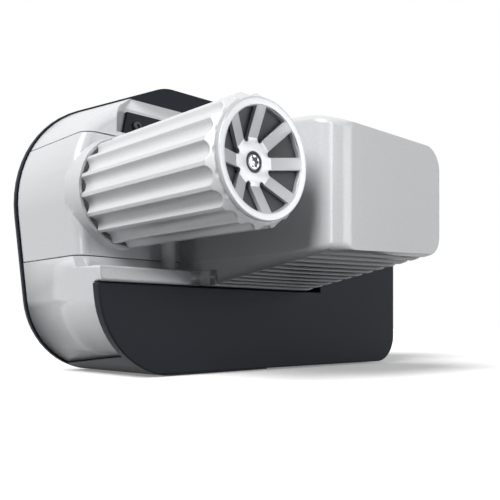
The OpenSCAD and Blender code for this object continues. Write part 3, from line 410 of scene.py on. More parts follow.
# rounds the sharp edges of a mesh; an edge whose rounding would leave the surface stays sharp
def roundEdges(mesh, width, segments, pick=None):
    s = rounding
    bm = bmesh.new()
    bm.from_mesh(mesh)
    bmesh.ops.remove_doubles(bm, verts=bm.verts, dist=samePoint)
    bmesh.ops.dissolve_limit(bm, angle_limit=math.radians(s["flatAngle"]), verts=bm.verts, edges=bm.edges)
    surface = BVHTree.FromBMesh(bm)
    layer = bm.edges.layers.float.new("bevel_weight_edge")
    for e in bm.edges:
        sharp = len(e.link_faces) == 2 and e.calc_face_angle(0) > math.radians(s["sharpAngle"])
        if sharp and (pick is None or pick((e.verts[0].co + e.verts[1].co) / 2 / mm)):
            e[layer] = 1
    for attempt in range(s["tries"]):
        bm.to_mesh(mesh)
        for name in ("custom_normal", "sharp_face"):
            if name in mesh.attributes:
                mesh.attributes.remove(mesh.attributes[name])
        mesh.shade_smooth()
        obj = addObject("roundBody", mesh)
        bevel = obj.modifiers.new("round", "BEVEL")
        bevel.width = width * mm
        bevel.segments = segments
        bevel.limit_method = "WEIGHT"
        bevel.use_clamp_overlap = False
        even = obj.modifiers.new("even", "WEIGHTED_NORMAL")
        even.weight = s["normalWeight"]
        out = settledMesh(obj)
        bpy.data.objects.remove(obj)
        astray = {v.index for v in out.vertices
                  if surface.find_nearest(v.co)[3] > width * mm * s["strayShare"]}
        if not astray:
            break
        spots = [out.vertices[i].co for f in out.polygons if astray & set(f.vertices)
                 for i in f.vertices if i not in astray]
        tree = kdtree.KDTree(len(spots))
        for i, co in enumerate(spots):
            tree.insert(co, i)
        tree.balance()
        for e in bm.edges:
            if any(tree.find(v.co)[2] < (s["keepOff"] + attempt) * width * mm for v in e.verts):
                e[layer] = 0
    bm.free()
    return out


# a geometry node tree with named inputs, first the mesh that it works on
def newTree(name, sockets):
    tree = bpy.data.node_groups.new(name, "GeometryNodeTree")
    for label, kind in (("Mesh", "Geometry"), *sockets, ("Finish", "Material")):
        tree.interface.new_socket(label, in_out="INPUT", socket_type="NodeSocket" + kind)
    tree.interface.new_socket("Mesh", in_out="OUTPUT", socket_type="NodeSocketGeometry")
    return tree, addNode(tree, "NodeGroupInput")


# every tree ends the same way: real faces with their finish
def closeTree(tree, size, source, output):
    real = addNode(tree, "GeometryNodeRealizeInstances", links={0: (source, output)})
    done = addNode(tree, "GeometryNodeSetMaterial",
                   links={"Geometry": (real, 0), "Material": (size, "Finish")})
    addNode(tree, "NodeGroupOutput", links={0: (done, 0)})


# plain mesh that a tree grows from a mesh
def grown(tree, mesh, values):
    obj = addObject("seed", mesh)
    mod = obj.modifiers.new("grow", "NODES")
    mod.node_group = tree
    for item in tree.interface.items_tree:
        if item.in_out == "INPUT" and item.name in values:
            mod[item.identifier] = values[item.name]
    out = settledMesh(obj)
    obj.modifiers.remove(mod)
    bpy.data.objects.remove(obj)
    return out


def pointsMesh(points):
    mesh = bpy.data.meshes.new("points")
    mesh.from_pydata([Vector(p) * mm for p in points], [], [])
    return mesh


# the mesh again and again along Y
def makeSlotRow():
    tree, size = newTree("slotRow", (("Count", "Int"), ("Pitch", "Float")))
    step = addNode(tree, "ShaderNodeCombineXYZ", links={"Y": (size, "Pitch")})
    row = addNode(tree, "GeometryNodeMeshLine", links={"Count": (size, "Count"), "Offset": (step, "Vector")})
    many = addNode(tree, "GeometryNodeInstanceOnPoints",
                   links={"Points": (row, "Mesh"), "Instance": (size, "Mesh")})
    closeTree(tree, size, many, "Instances")
    return tree


screws = {"chamfer": 0.6, "socketShare": 0.52, "depthShare": 0.6, "tipShare": 0.86, "headSides": 40,
          "shankSides": 32, "shankRings": 12, "headFrom": 0.9, "smallHead": 4}


# socket head screws: a chamfered head with a hexagon socket, and a shank, on every point
def makeScrewTree():
    s = screws
    tree, size = newTree("socketScrews", (
        ("Head Radius", "Float"), ("Head Height", "Float"), ("Chamfer", "Float"), ("Socket Radius", "Float"),
        ("Socket Depth", "Float"), ("Shank Radius", "Float"), ("Shank Length", "Float"), ("Turn", "Vector")))
    crown = addNode(tree, "ShaderNodeMath", links={0: (size, "Head Radius"), 1: (size, "Chamfer")},
                    operation="SUBTRACT")
    skirt = addNode(tree, "ShaderNodeMath", links={0: (crown, "Value"), 1: (size, "Head Height")},
                    operation="ADD")
    body = addNode(tree, "GeometryNodeMeshCone", {"Vertices": s["headSides"]},
                   {"Radius Top": (size, "Head Radius"), "Radius Bottom": (size, "Head Radius"),
                    "Depth": (size, "Head Height")})
    slope = addNode(tree, "GeometryNodeMeshCone", {"Vertices": s["headSides"]},
                    {"Radius Top": (crown, "Value"), "Radius Bottom": (skirt, "Value"),
                     "Depth": (size, "Head Height")})
    head = addNode(tree, "GeometryNodeMeshBoolean", links={"Mesh 2": (body, "Mesh")},
                   operation="INTERSECT", solver="EXACT")
    tree.links.new(slope.outputs["Mesh"], head.inputs["Mesh 2"])
    hexagon = addNode(tree, "GeometryNodeMeshCone", {"Vertices": 6},
                      {"Radius Top": (size, "Socket Radius"), "Radius Bottom": (size, "Socket Radius"),
                       "Depth": (size, "Head Height")})
    floor = addNode(tree, "ShaderNodeMath", links={0: (size, "Head Height"), 1: (size, "Socket Depth")},
                    operation="SUBTRACT")
    lift = addNode(tree, "ShaderNodeCombineXYZ", links={"Z": (floor, "Value")})
    raised = addNode(tree, "GeometryNodeTransform",
                     links={"Geometry": (hexagon, "Mesh"), "Translation": (lift, "Vector")})
    drilled = addNode(tree, "GeometryNodeMeshBoolean",
                      links={"Mesh 1": (head, "Mesh"), "Mesh 2": (raised, "Geometry")},
                      operation="DIFFERENCE", solver="EXACT")
    tip = addNode(tree, "ShaderNodeMath", {1: s["tipShare"]}, {0: (size, "Shank Radius")},
                  operation="MULTIPLY")
    shank = addNode(tree, "GeometryNodeMeshCone",
                    {"Vertices": s["shankSides"], "Side Segments": s["shankRings"]},
                    {"Radius Top": (tip, "Value"), "Radius Bottom": (size, "Shank Radius"),
                     "Depth": (size, "Shank Length")})
    down = addNode(tree, "GeometryNodeTransform", {"Rotation": (math.pi, 0, 0)},
                   {"Geometry": (shank, "Mesh")})
    screw = addNode(tree, "GeometryNodeJoinGeometry", links={"Geometry": (drilled, "Mesh")})
    tree.links.new(down.outputs["Geometry"], screw.inputs["Geometry"])
    many = addNode(tree, "GeometryNodeInstanceOnPoints",
                   links={"Points": (size, "Mesh"), "Instance": (screw, "Geometry"),
                          "Rotation": (size, "Turn")})
    closeTree(tree, size, many, "Instances")
    return tree


# round beads on a ring about the Y axis, each a little different
def makeBeadTree():
    tree, size = newTree("beadRing", (
        ("Count", "Int"), ("Ring Radius", "Float"), ("Bead", "Vector"), ("Spread", "Float"), ("Seed", "Int"),
        ("Place", "Vector")))
    ring = addNode(tree, "GeometryNodeMeshCircle",
                   links={"Vertices": (size, "Count"), "Radius": (size, "Ring Radius")})
    ball = addNode(tree, "GeometryNodeMeshIcoSphere", {"Radius": 1.0, "Subdivisions": 3})
    shaped = addNode(tree, "GeometryNodeTransform",
                     links={"Geometry": (ball, "Mesh"), "Scale": (size, "Bead")})
    at = addNode(tree, "GeometryNodeInputPosition")
    turn = addNode(tree, "FunctionNodeAlignRotationToVector", links={"Vector": (at, "Position")},
                   axis="X", pivot_axis="Z")
    low = addNode(tree, "ShaderNodeMath", {0: 1.0}, {1: (size, "Spread")}, operation="SUBTRACT")
    high = addNode(tree, "ShaderNodeMath", {0: 1.0}, {1: (size, "Spread")}, operation="ADD")
    vary = addNode(tree, "FunctionNodeRandomValue",
                   links={2: (low, "Value"), 3: (high, "Value"), "Seed": (size, "Seed")}, data_type="FLOAT")
    many = addNode(tree, "GeometryNodeInstanceOnPoints",
                   links={"Points": (ring, "Mesh"), "Instance": (shaped, "Geometry"),
                          "Rotation": (turn, "Rotation"), "Scale": (vary, 1)})
    stood = addNode(tree, "GeometryNodeTransform", {"Rotation": (math.pi / 2, 0, 0)},
                    {"Geometry": (many, "Instances"), "Translation": (size, "Place")})
    closeTree(tree, size, stood, "Geometry")
    return tree


slotRow, screwTree, beadTree = makeSlotRow(), makeScrewTree(), makeBeadTree()

roller = {"near": -247.4, "far": -118.2, "radius": 37.5, "flutes": 18, "perFlute": 24, "fluteR": 5.3,
          "depth": 3.8, "runOut": 6.2, "edge": 0.4, "coneStart": -243.5, "coneSlope": 0.87, "notchR": 3.4,
          "notchReach": 1.3, "notchDepth": 1.1, "notchEdge": 0.12, "chamfer": 0.4, "chamferBend": (0.4, 0.35),
          "steps": (0.2, 0.5, 7), "pastRunOut": 1, "lastGap": 3, "bore": 12.5, "hollowR": 28.5,
          "hollowEnd": -191.2, "seatR": 32.8, "seatEnd": -239.2}


# a depth of cut that sets in softly, without a sharp rim
def softDepth(depth, edge):
    return edge * math.log1p(math.exp(depth / edge))


def rollerRadius(angle, y):
    s = roller
    pitch = 2 * math.pi / s["flutes"]
    off = abs((angle + pitch / 2) % pitch - pitch / 2) * s["radius"]
    # a flute ends in a ball where its cutter left the roller
    start = s["near"] + s["runOut"]
    rho = off if y >= start else math.hypot(off, start - y)
    flat = s["fluteR"] - s["depth"]
    if rho < s["fluteR"]:
        dip = math.sqrt(s["fluteR"] ** 2 - rho ** 2) - flat
    else:
        dip = -flat - (rho - s["fluteR"])
    # the free end tapers towards the cap, and a small scallop lies ahead of every flute
    taper = max(s["coneStart"] - y, 0) * s["coneSlope"]
    reach = math.hypot(off, (y - s["near"]) * s["notchR"] / s["notchReach"])
    notch = math.sqrt(max(s["notchR"] ** 2 - reach ** 2, 0)) - (s["notchR"] - s["notchDepth"])
    return s["radius"] - taper - max(softDepth(dip - taper, s["edge"]), softDepth(notch, s["notchEdge"]))


def makeRoller():
    s = roller
    fine, middle, long = s["steps"]
    along, inwards = [s["chamfer"] * share for share in s["chamferBend"]]
    stations = [(s["near"], s["chamfer"]), (s["near"] + along, inwards), (s["near"] + s["chamfer"], 0)]
    y = s["near"] + s["chamfer"] + fine
    while y < s["near"] + s["runOut"] + s["pastRunOut"]:
        stations.append((y, 0))
        y += fine if y < s["near"] + s["notchReach"] else middle
    while y < s["far"] - s["lastGap"]:
        stations.append((y, 0))
        y += long
    stations += [(s["far"] - s["chamfer"], 0), (s["far"] - along, inwards), (s["far"], s["chamfer"])]
    count = s["flutes"] * s["perFlute"]
    rings = [ringAt(rollerAxis, y, lambda a: rollerRadius(a, y) - less, count) for y, less in stations]
    # bore, hollow and cap seat behind the free end
    inner = [(s["bore"], s["far"]), (s["bore"], s["hollowEnd"]), (s["hollowR"], s["hollowEnd"]),
             (s["hollowR"], s["seatEnd"]), (s["seatR"], s["seatEnd"]), (s["seatR"], s["near"])]
    rings += [ringAt(rollerAxis, y, r, count) for r, y in inner]
    return tidyMesh(skinRings("driveRoller", rings, loop=True), angle=32)


addPiece("flutedRoller", makeRoller(), "roller", "satin_aluminium", "drive_roller")
print("roller done")

cap = {"near": -250.5, "rimR": 33.6, "rimIn": 29.2, "rimEdge": 0.8, "faceDrop": 0.3, "back": -247.4,
       "lip": 1.6, "lipDrop": 0.5, "spigotR": 32.7, "spigotIn": 31.6, "spigotEnd": -239.3, "spokes": 8,
       "turn": math.radians(4), "spokeW": 6.6, "spokeT": 3, "edge": 0.35, "endR": 1.8, "plateOver": 0.1,
       "windowOver": 0.05, "rise": 8.4, "hubSet": 8.9, "hubR": 13.4, "hubLine": 0.02, "hubBack": -234.2,
       "hubWall": 3.5, "seat": -239.2, "recessR": 6.3, "screwR": 3.3, "cutGap": 1e-7}
capMiddle = cap["near"] + cap["hubSet"] + cap["spokeT"] / 2


# one window between two spokes: a round inner end, and an arc along the rim
def windowOutline(turn):
    s = cap
    half = math.pi / s["spokes"]
    centre = (s["spokeW"] / 2 + s["endR"]) / math.sin(half)
    reach = math.degrees(half - math.asin(s["spokeW"] / 2 / s["rimIn"]))
    points = arc(centre, 0, s["endR"], 90 + math.degrees(half), 180 - 2 * math.degrees(half))
    points += arc(s["windowOver"], 0, s["rimIn"], -reach, 2 * reach, 16)
    c, q = math.cos(turn), math.sin(turn)
    return [(x * c - y * q, x * q + y * c) for x, y in points]


# how far out a point lies along the spoke nearest to it
def alongSpoke(x, y):
    step = 2 * math.pi / cap["spokes"]
    a = round((math.atan2(y, x) - cap["turn"]) / step) * step + cap["turn"]
    return x * math.cos(a) + y * math.sin(a)


# the plate with its windows, bent so that the hub stays flat and the spokes rise to the rim
def makeSpokes():
    s = cap
    step = 2 * math.pi / s["spokes"]
    flat = bpy.data.curves.new("capPlate", "CURVE")
    flat.dimensions = "2D"
    flat.fill_mode = "BOTH"
    flat.extrude = (s["spokeT"] / 2 - s["edge"]) * mm
    flat.bevel_depth = s["edge"] * mm
    flat.bevel_resolution = 2
    outlines = [arc(0, 0, r, 0, 360, count)[:-1]
                for r, count in ((s["rimIn"] + s["plateOver"], 96), (s["recessR"], 48))]
    outlines += [windowOutline((i + 0.5) * step + s["turn"]) for i in range(s["spokes"])]
    for points in outlines:
        line = flat.splines.new("POLY")
        line.points.add(len(points) - 1)
        line.use_cyclic_u = True
        for p, (x, y) in zip(line.points, points):
            p.co = (x * mm, y * mm, 0, 1)
    holder = addObject("capPlate", flat)
    bm = bmesh.new()
    bm.from_mesh(settledMesh(holder))
    bpy.data.objects.remove(holder)
    bmesh.ops.remove_doubles(bm, verts=bm.verts, dist=samePoint)
    for i in range(s["spokes"]):
        a = i * step + s["turn"]
        way = Vector((math.cos(a), math.sin(a), 0))
        bmesh.ops.bisect_plane(bm, geom=[*bm.verts, *bm.edges, *bm.faces], plane_co=way * s["hubR"] * mm,
                               plane_no=way, dist=s["cutGap"])
    for v in bm.verts:
        out = alongSpoke(v.co.x, v.co.y) / mm
        v.co.z += max(out - s["hubR"], 0) / (s["rimIn"] - s["hubR"]) * s["rise"] * mm
    # stand the plate up: its face looks along -Y
    upright = ((1, 0, 0, rollerAxis[0] * mm), (0, 0, -1, capMiddle * mm), (0, 1, 0, 0), (0, 0, 0, 1))
    bm.transform(Matrix(upright))
    return bm


def makeCap():
    s = cap
    lipBack, hubOut = s["near"] + s["lip"], s["recessR"] + s["hubWall"]
    rim = [(s["rimIn"], s["near"] + s["faceDrop"]), (s["rimR"], s["near"]), (s["rimR"], s["back"]),
           (s["spigotR"], s["back"]), (s["spigotR"], s["spigotEnd"]), (s["spigotIn"], s["spigotEnd"]),
           (s["spigotIn"], lipBack + s["lipDrop"]), (s["rimIn"], lipBack)]
    hub = [(hubOut, capMiddle), (hubOut, s["hubBack"]), (s["screwR"], s["hubBack"]), (s["screwR"], s["seat"]),
           (s["recessR"], s["seat"]), (s["recessR"], capMiddle)]
    bm = makeSpokes()
    bm.from_mesh(lathe("capRim", roundedProfile(rim, s["rimEdge"]), rollerAxis))
    bm.from_mesh(lathe("capHub", hub, rollerAxis, 72))
    mesh = bpy.data.meshes.new("rollerCap")
    bm.to_mesh(mesh)
    bm.free()
    tidyMesh(mesh, angle=30)
    # a crisp line where the spokes leave the hub
    for e in mesh.edges:
        ends = [mesh.vertices[i].co / mm for i in e.vertices]
        if all(abs(alongSpoke(p.x - rollerAxis[0], p.z) - s["hubR"]) < s["hubLine"] for p in ends):
            e.use_edge_sharp = True
    return mesh


addPiece("spokedCap", makeCap(), "roller", "satin_aluminium", "roller_cap",
         material=finish["turned_aluminium"])

# dome, mouth and socket: steps outwards from a radius and down from the top of the head
capScrew = {"back": -239.2, "headR": 4.7, "headH": 2.6, "edge": 0.3, "shankR": 3, "shankEnd": -220.2,
            "tip": 0.5, "tipR": 0.05, "dome": ((0, 1.1), (-0.25, 0.605), (-0.8, 0.275)), "socketR": 2.9,
            "lobes": 6, "lobe": 0.5, "mouth": (0.9, 0.05), "sides": 96,
            "socket": ((0.12, 0), (0, 0.15), (-0.05, 1.9), (-2.8, 2.3))}


def makeCapScrew():
    s = capScrew
    top = s["back"] - s["headH"]
    profile = [(s["tipR"], s["shankEnd"]), (s["shankR"] - s["tip"], s["shankEnd"]),
               (s["shankR"], s["shankEnd"] - s["tip"]), (s["shankR"], s["back"]),
               (s["headR"] - s["edge"], s["back"]), (s["headR"], s["back"] - s["edge"])]
    profile += [(s["headR"] + out, top + down) for out, down in s["dome"]]
    profile.append((s["socketR"] + s["mouth"][0], top + s["mouth"][1]))
    rings = [ringAt(rollerAxis, y, r, s["sides"]) for r, y in profile]
    for out, down in s["socket"]:
        r = s["socketR"] + out
        rings.append(ringAt(rollerAxis, top + down, lambda a: r + s["lobe"] * math.cos(s["lobes"] * a)
                            * (r / s["socketR"]), s["sides"]))
    return tidyMesh(skinRings("capScrew", rings), angle=28)


addPiece("centreScrew", makeCapScrew(), "roller", "chrome_steel", "cap_screw")

bowl = {"lip": 31.4, "lipY": -247.4, "wall": 28.4, "floorY": -238.0, "back": -231.2, "bore": 12.6,
        "seat": -239.4, "seatDrop": 0.6, "edge": 0.4}


# dark insert that closes the windows, dished like the spokes ahead of it
def makeBowl():
    s = bowl
    profile = [(s["bore"], s["floorY"]), (s["lip"], s["lipY"]), (s["lip"], s["seat"]),
               (s["wall"], s["seat"] + s["seatDrop"]), (s["wall"], s["back"]), (s["bore"], s["back"])]
    return tidyMesh(lathe("windowBowl", roundedProfile(profile, s["edge"], 3), rollerAxis, 192), angle=35)


addPiece("windowBowl", makeBowl(), "roller", "window_plastic", "cap_insert")

# a dark rubber ring round the centre screw's head, standing in as painted shadow of the recess round the head
shadeRing = {"inner": 4.76, "outer": 6.24, "front": -241.2, "back": -239.22, "edge": 0.45}


# square section of a ring
def ringProfile(s):
    return [(s["inner"], s["front"]), (s["outer"], s["front"]), (s["outer"], s["back"]),
            (s["inner"], s["back"])]


# painted shadow: a dark ring put where the recess round the screw head lies in shade
def makeShadeRing():
    profile = roundedProfile(ringProfile(shadeRing), shadeRing["edge"])
    return tidyMesh(lathe("screwShadeRing", profile, rollerAxis, 96), angle=50)


# the dark ring is painted shadow round the centre screw's head
addPiece("screwShadeRing", makeShadeRing(), "roller", "rubber")
print("cap and screw done")

# bores: radius, front and back
housing = {"left": -75, "right": 45, "top": 36.5, "rise": 12, "lowFront": -46, "low": -62.4, "front": -256.6,
           "back": -108.6, "flat": 30, "corner": 16, "lowCorner": 13, "leftEdge": 5, "endR": 18, "rightR": 5,
           "crown": 3.5, "crownLen": 26, "crownSteps": (5 / 6, 1), "leftLift": 1.4, "rightLift": 4.6,
           "slots": 11, "slotFirst": 8, "slotPitch": 10, "slotW": 6.4, "slotRoof": -41.5, "slotRoofR": 1.4,
           "slotWall": 5, "slotPast": 20, "slotLow": -90, "slotEdge": 0.8, "edge": 1.6, "edgeZone": 1,
           "bores": ((35.05, -230.6, -103.6), (30, -238.6, -230.5), (15, -247.6, -238.5))}


def housingSection(y):
    s = housing
    draft = min((y - s["front"]) / (s["back"] - s["front"] - s["flat"]), 1)
    crown = s["crown"] * max(1 - (y - s["front"]) / s["crownLen"], 0) ** 2
    top, low = s["top"] + s["rise"] * draft - crown, s["lowFront"] + (s["low"] - s["lowFront"]) * draft
    inset = lambda r: r - math.sqrt(max(r * r - max(r - (y - s["front"]), 0) ** 2, 0))
    left, right = s["left"] + inset(s["endR"]), s["right"] - inset(s["rightR"])
    corners = [(right, top, s["corner"], -1, -1, 0), (left, top, s["leftEdge"], 1, -1, 90),
               (left, low + s["leftLift"] * (1 - draft), s["leftEdge"], 1, 1, 180),
               (right, low + s["rightLift"] * (1 - draft), s["lowCorner"], -1, 1, 270)]
    return [(px, y, pz) for x, z, r, sx, sz, start in corners
            for px, pz in arc(x + sx * r, z + sz * r, r, start, 90)]


# a cooling slot with a rounded roof, open below and to the right, all along the underside
def makeSlotCutters():
    s = housing
    first = s["front"] + s["slotFirst"]
    low = (s["left"] + s["slotWall"], first, s["slotLow"])
    high = (s["right"] + s["slotPast"], first + s["slotW"], s["slotRoof"])
    box = bmesh.new()
    bmesh.ops.create_cube(box, size=1)
    for v in box.verts:
        v.co = Vector([high[i] if v.co[i] > 0 else low[i] for i in range(3)]) * mm
    roof = [e for e in box.edges if all(abs(v.co.z - s["slotRoof"] * mm) < samePoint for v in e.verts)]
    bmesh.ops.bevel(box, geom=roof, offset=s["slotRoofR"] * mm, segments=3, profile=0.5, affect="EDGES")
    cutter = bpy.data.meshes.new("slotCutter")
    box.to_mesh(cutter)
    box.free()
    slots = grown(slotRow, cutter, {"Count": s["slots"], "Pitch": s["slotPitch"] * mm,
                                    "Finish": finish["silver_paint"]})
    return addObject("slotCutters", slots)


def makeHousing():
    s = housing
    stations = {s["front"] + r * (1 - math.cos(math.radians(90 * k / 12)))
                for r in (s["endR"], s["rightR"]) for k in range(13)}
    stations |= {s["front"] + s["crownLen"] * share for share in s["crownSteps"]}
    rings = [housingSection(y) for y in sorted(stations | {s["back"] - s["flat"], s["back"]})]
    shell = tidyMesh(skinRings("motorHousing", rings), angle=60)
    shell = roundEdges(shell, s["edge"], 3, pick=lambda at: at.y < s["front"] + s["edgeZone"])
    cutters = [makeSlotCutters()]
    for r, front, back in s["bores"]:
        cutters.append(addObject("bore", lathe("bore", [(r, front), (r, back)], motorAxis, 64, loop=False)))
    return roundEdges(cutAway(shell, cutters), s["slotEdge"], 2)


addPiece("motorHousingShell", makeHousing(), "drive_head", "silver_paint", "motor_housing")
print("motor housing done")

lean = {"from": 40.6, "over": 30, "slope": 0.13, "back": -28.6}


# the top of the head drops towards its front
def leanIn(co):
    share = min(max((co.z / mm - lean["from"]) / lean["over"], 0), 1)
    return Vector((co.x, co.y, co.z - share * lean["slope"] * (lean["back"] * mm - co.y)))


recess = {"y": -70.6, "roof": 76, "left": -129, "leftY": -108.6, "slant": 66 / 81, "wallZone": 0.8,
          "foot": (40, 55), "shift": 6, "raise": 4.5, "roofZone": 0.6, "lidLeft": -95, "lidTop": 73,
          "lidShift": (8, 2.2), "zone": 0.5}


# how far a point stands from the slanting left wall of the recess
def wallOff(at):
    return at.x - recess["left"] - recess["slant"] * (at.y - recess["leftY"])


# the left wall of the recess leans outwards at its foot, and the roof ends higher
def recessIn(co):
    s, at = recess, co / mm
    low, high = s["foot"]
    if abs(wallOff(at)) < s["wallZone"] and low < at.z < high and at.y > s["leftY"] + s["zone"]:
        at.x -= s["shift"]
    if abs(at.y - s["y"]) < s["roofZone"] and abs(at.z - s["roof"]) < s["roofZone"]:
        at.z += s["raise"]
    return leanIn(at * mm)


# the lid follows the recess: higher, and wider on its left
def lidIn(co):
    s, at = recess, co / mm
    top = at.z > s["lidTop"] - s["zone"]
    at.z += s["raise"] if top else 0
    at.x -= s["lidShift"][top] if at.x < s["lidLeft"] + s["zone"] else 0
    return leanIn(at * mm)


# a CAD node with soft edges, after its cuts, its change of shape and its wider rounding
def softCopy(name, nodeName, body, width, segments=2, shape=None, wider=None, cutters=()):
    mesh = frame["nodes"][nodeName].data.copy()
    if cutters:
        mesh = cutAway(tidyMesh(mesh, angle=40), cutters)
    if shape:
        for v in mesh.vertices:
            v.co = shape(v.co)
    if wider:
        mesh = roundEdges(mesh, *wider)
    mesh = roundEdges(mesh, width, segments)
    addPiece(name, mesh, body, nodeSlot[nodeName], nodeName)


# groove in the collar, round the far end of the flutes
groove = {"inner": 32.6, "outer": 36.4, "front": -119, "back": -112.6}
grooveMesh = tidyMesh(lathe("collarGroove", ringProfile(groove), rollerAxis), angle=60)

ledge = {"front": -132, "left": -150, "low": -63, "top": -51, "back": -108, "edge": 1.8}


# the front and left edges of the ledge are rounder than the rest of the lower case
def onLedge(at):
    s = ledge
    return at.y < s["front"] or (at.x < s["left"] and s["low"] < at.z < s["top"] and at.y < s["back"])


softCopy("gearCaseShell", "gear_case", "drive_head", 0.4, cutters=[addObject("collarGroove", grooveMesh)])
softCopy("upperCaseShell", "upper_case", "drive_head", 0.4, shape=recessIn)
softCopy("recessLid", "inspection_cover", "drive_head", 0.5, shape=lidIn)
softCopy("lowerCaseShell", "lower_case", "drive_head", 0.4, wider=(ledge["edge"], 3, onLedge))

ledgeTab = {"wall": -74.6, "left": -79, "ledge": -133.3, "end": -151.5, "cove": 6, "nose": 2.4, "low": -62.3,
            "top": -52, "edge": 0.7}


# the ledge turns a corner and runs a little way along the motor housing
def makeLedgeTab():
    s = ledgeTab
    outline = [(s["wall"], s["ledge"])]
    outline += arc(s["left"] - s["cove"], s["ledge"] - s["cove"], s["cove"], 90, -90)
    outline += arc(s["left"] + s["nose"], s["end"] + s["nose"], s["nose"], 180, 90)
    outline.append((s["wall"], s["end"]))
    rings = [[(x, y, z) for x, y in outline] for z in (s["low"], s["top"])]
    return roundEdges(tidyMesh(skinRings("ledgeTab", rings), angle=40), s["edge"], 3)


addPiece("ledgeTab", makeLedgeTab(), "drive_head", "silver_paint")
softCopy("baseShell", "base_tray", "base", 1.2, segments=3)
softCopy("rearShell", "rear_cover", "base", 1.0)
softCopy("chassisPlate", "mounting_plate", "base", 0.6)
softCopy("crossbarSleeve", "crossbar_socket", "base", 0.5)
softCopy("skidStrip", "bottom_skid", "base", 0.5)
print("shells softened")


# the separate screws of a CAD node: axis, way, head and shank sizes, and seat, in millimetres
def screwsOf(nodeName):
    bm = bmesh.new()
    bm.from_mesh(frame["nodes"][nodeName].data)
    bmesh.ops.remove_doubles(bm, verts=bm.verts, dist=samePoint)
    left, found = set(bm.verts), []
    while left:
        stack, points = [left.pop()], []
        while stack:
            v = stack.pop()
            points.append(v.co / mm)
            near = {e.other_vert(v) for e in v.link_edges} & left
            left -= near
            stack += near
        low = Vector([min(p[i] for p in points) for i in range(3)])
        high = Vector([max(p[i] for p in points) for i in range(3)])
        axis = max(range(3), key=lambda i: high[i] - low[i])
        middle = (low + high) / 2
        radius = lambda p: math.hypot(*(p[i] - middle[i] for i in range(3) if i != axis))
        headR = max(radius(p) for p in points)
        head = [p[axis] for p in points if radius(p) > headR * screws["headFrom"]]
        shankR = max(radius(p) for p in points if radius(p) < headR * screws["headFrom"])
        way = 1 if max(head) > middle[axis] else -1
        seat = min(head) if way > 0 else max(head)
        end = low[axis] if way > 0 else high[axis]
        middle[axis] = seat
        sizes = (headR, max(head) - min(head), shankR, abs(seat - end))
        found.append((axis, way, *(round(size, 2) for size in sizes), tuple(middle)))
    bm.free()
    return found


# small picks the lid's screws, which lean with the head, or leaves them out
def makeScrews(name, nodeName, body, *nodes, small=None, material=None):
    s, kinds = screws, {}
    material = material or finish[nodeSlot[nodeName]]
    for *kind, at in screwsOf(nodeName):
        if small is None or small == (kind[2] < s["smallHead"]):
            kinds.setdefault(tuple(kind), []).append(leanIn(Vector(at) * mm) / mm if small else at)
    bm = bmesh.new()
    for (axis, way, headR, headH, shankR, shankLen), points in kinds.items():
        turn = (-way * math.pi / 2, 0, 0) if axis == 1 else (0, way * math.pi / 2, 0)
        bm.from_mesh(grown(screwTree, pointsMesh(points), {
            "Head Radius": headR * mm, "Head Height": headH * mm, "Chamfer": s["chamfer"] * mm, "Turn": turn,
            "Socket Radius": headR * s["socketShare"] * mm, "Socket Depth": headH * s["depthShare"] * mm,
            "Shank Radius": shankR * mm, "Shank Length": shankLen * mm, "Finish": material}))
    mesh = bpy.data.meshes.new(name)
    bm.to_mesh(mesh)
    bm.free()
    addPiece(name, tidyMesh(mesh, angle=30), body, nodeSlot[nodeName], *nodes, material=material)


makeScrews("plateScrews", "plate_screws", "base", "plate_screws")
makeScrews("baseScrews", "base_screws", "base", "base_screws")
makeScrews("headScrews", "case_screws", "drive_head", "case_screws", small=False)
makeScrews("lidScrews", "case_screws", "drive_head", small=True, material=finish["black_oxide"])
makeScrews("clampScrews", "socket_screws", "base", "socket_screws")

# weld bead between the crossbar sleeve and its flange, and grip ribs on the gland's clamping nut
weld = {"count": 60, "radius": 25.2, "bead": (1.9, 2.2, 1.7), "spread": 0.16, "seed": 4, "at": (0, 1.2, -84)}
gland = {"count": 18, "radius": 10.6, "bead": (0.9, 0.8, 4.2), "spread": 0.0, "seed": 1, "at": (122, 4.5, 20)}


def makeBeads(s, material):
    mesh = grown(beadTree, pointsMesh([(0, 0, 0)]), {
        "Count": s["count"], "Ring Radius": s["radius"] * mm, "Bead": Vector(s["bead"]) * mm,
        "Spread": s["spread"], "Seed": s["seed"], "Place": Vector(s["at"]) * mm, "Finish": material})
    return tidyMesh(mesh, angle=60)


for name, settings, slotName in (("weldBead", weld, "plated_steel"), ("glandRibs", gland, "skid_plastic")):
    addPiece(name, makeBeads(settings, finish[slotName]), "base", slotName)
softCopy("glandBody", "cable_gland", "base", 0.4)
print("screws, weld and gland done")

# fitted to the roller, the cap, the housing and the panel as they are seen; metres and degrees
view = {"at": (-0.3891, -0.5162, -0.0898), "turn": (90, 0, -43.15), "lens": 49.47, "sensor": 36,
        "shift": (0.0091, 0.148), "clip": 0.01}
data = bpy.data.cameras.new("camera")
data.lens = view["lens"]
data.sensor_width = view["sensor"]
data.sensor_fit = "HORIZONTAL"
data.shift_x, data.shift_y = view["shift"]
data.clip_start = view["clip"]
camera = addObject("camera", data)
camera.location = view["at"]
camera.rotation_euler = [math.radians(turn) for turn in view["turn"]]
scene.camera = camera

studio = {"floor": -0.1262, "floorSize": 8, "sky": 0.16, "seenFloor": "#F6F6F6", "bounce": "#282A2D",
          "glow": 0.22, "white": (1, 1, 1, 1), "aim": (-0.05, -0.12, 0)}


# 1 for a ray that the eye follows, straight, through glass or by a mirror, and 0 for light on its way
def seenRays(tree):
    path = addNode(tree, "ShaderNodeLightPath")
    seen = addNode(tree, "ShaderNodeMath",
                   links={0: (path, "Is Camera Ray"), 1: (path, "Is Transmission Ray")}, operation="MAXIMUM")
    return addNode(tree, "ShaderNodeMath", links={0: (seen, "Value"), 1: (path, "Is Glossy Ray")},
                   operation="MAXIMUM")


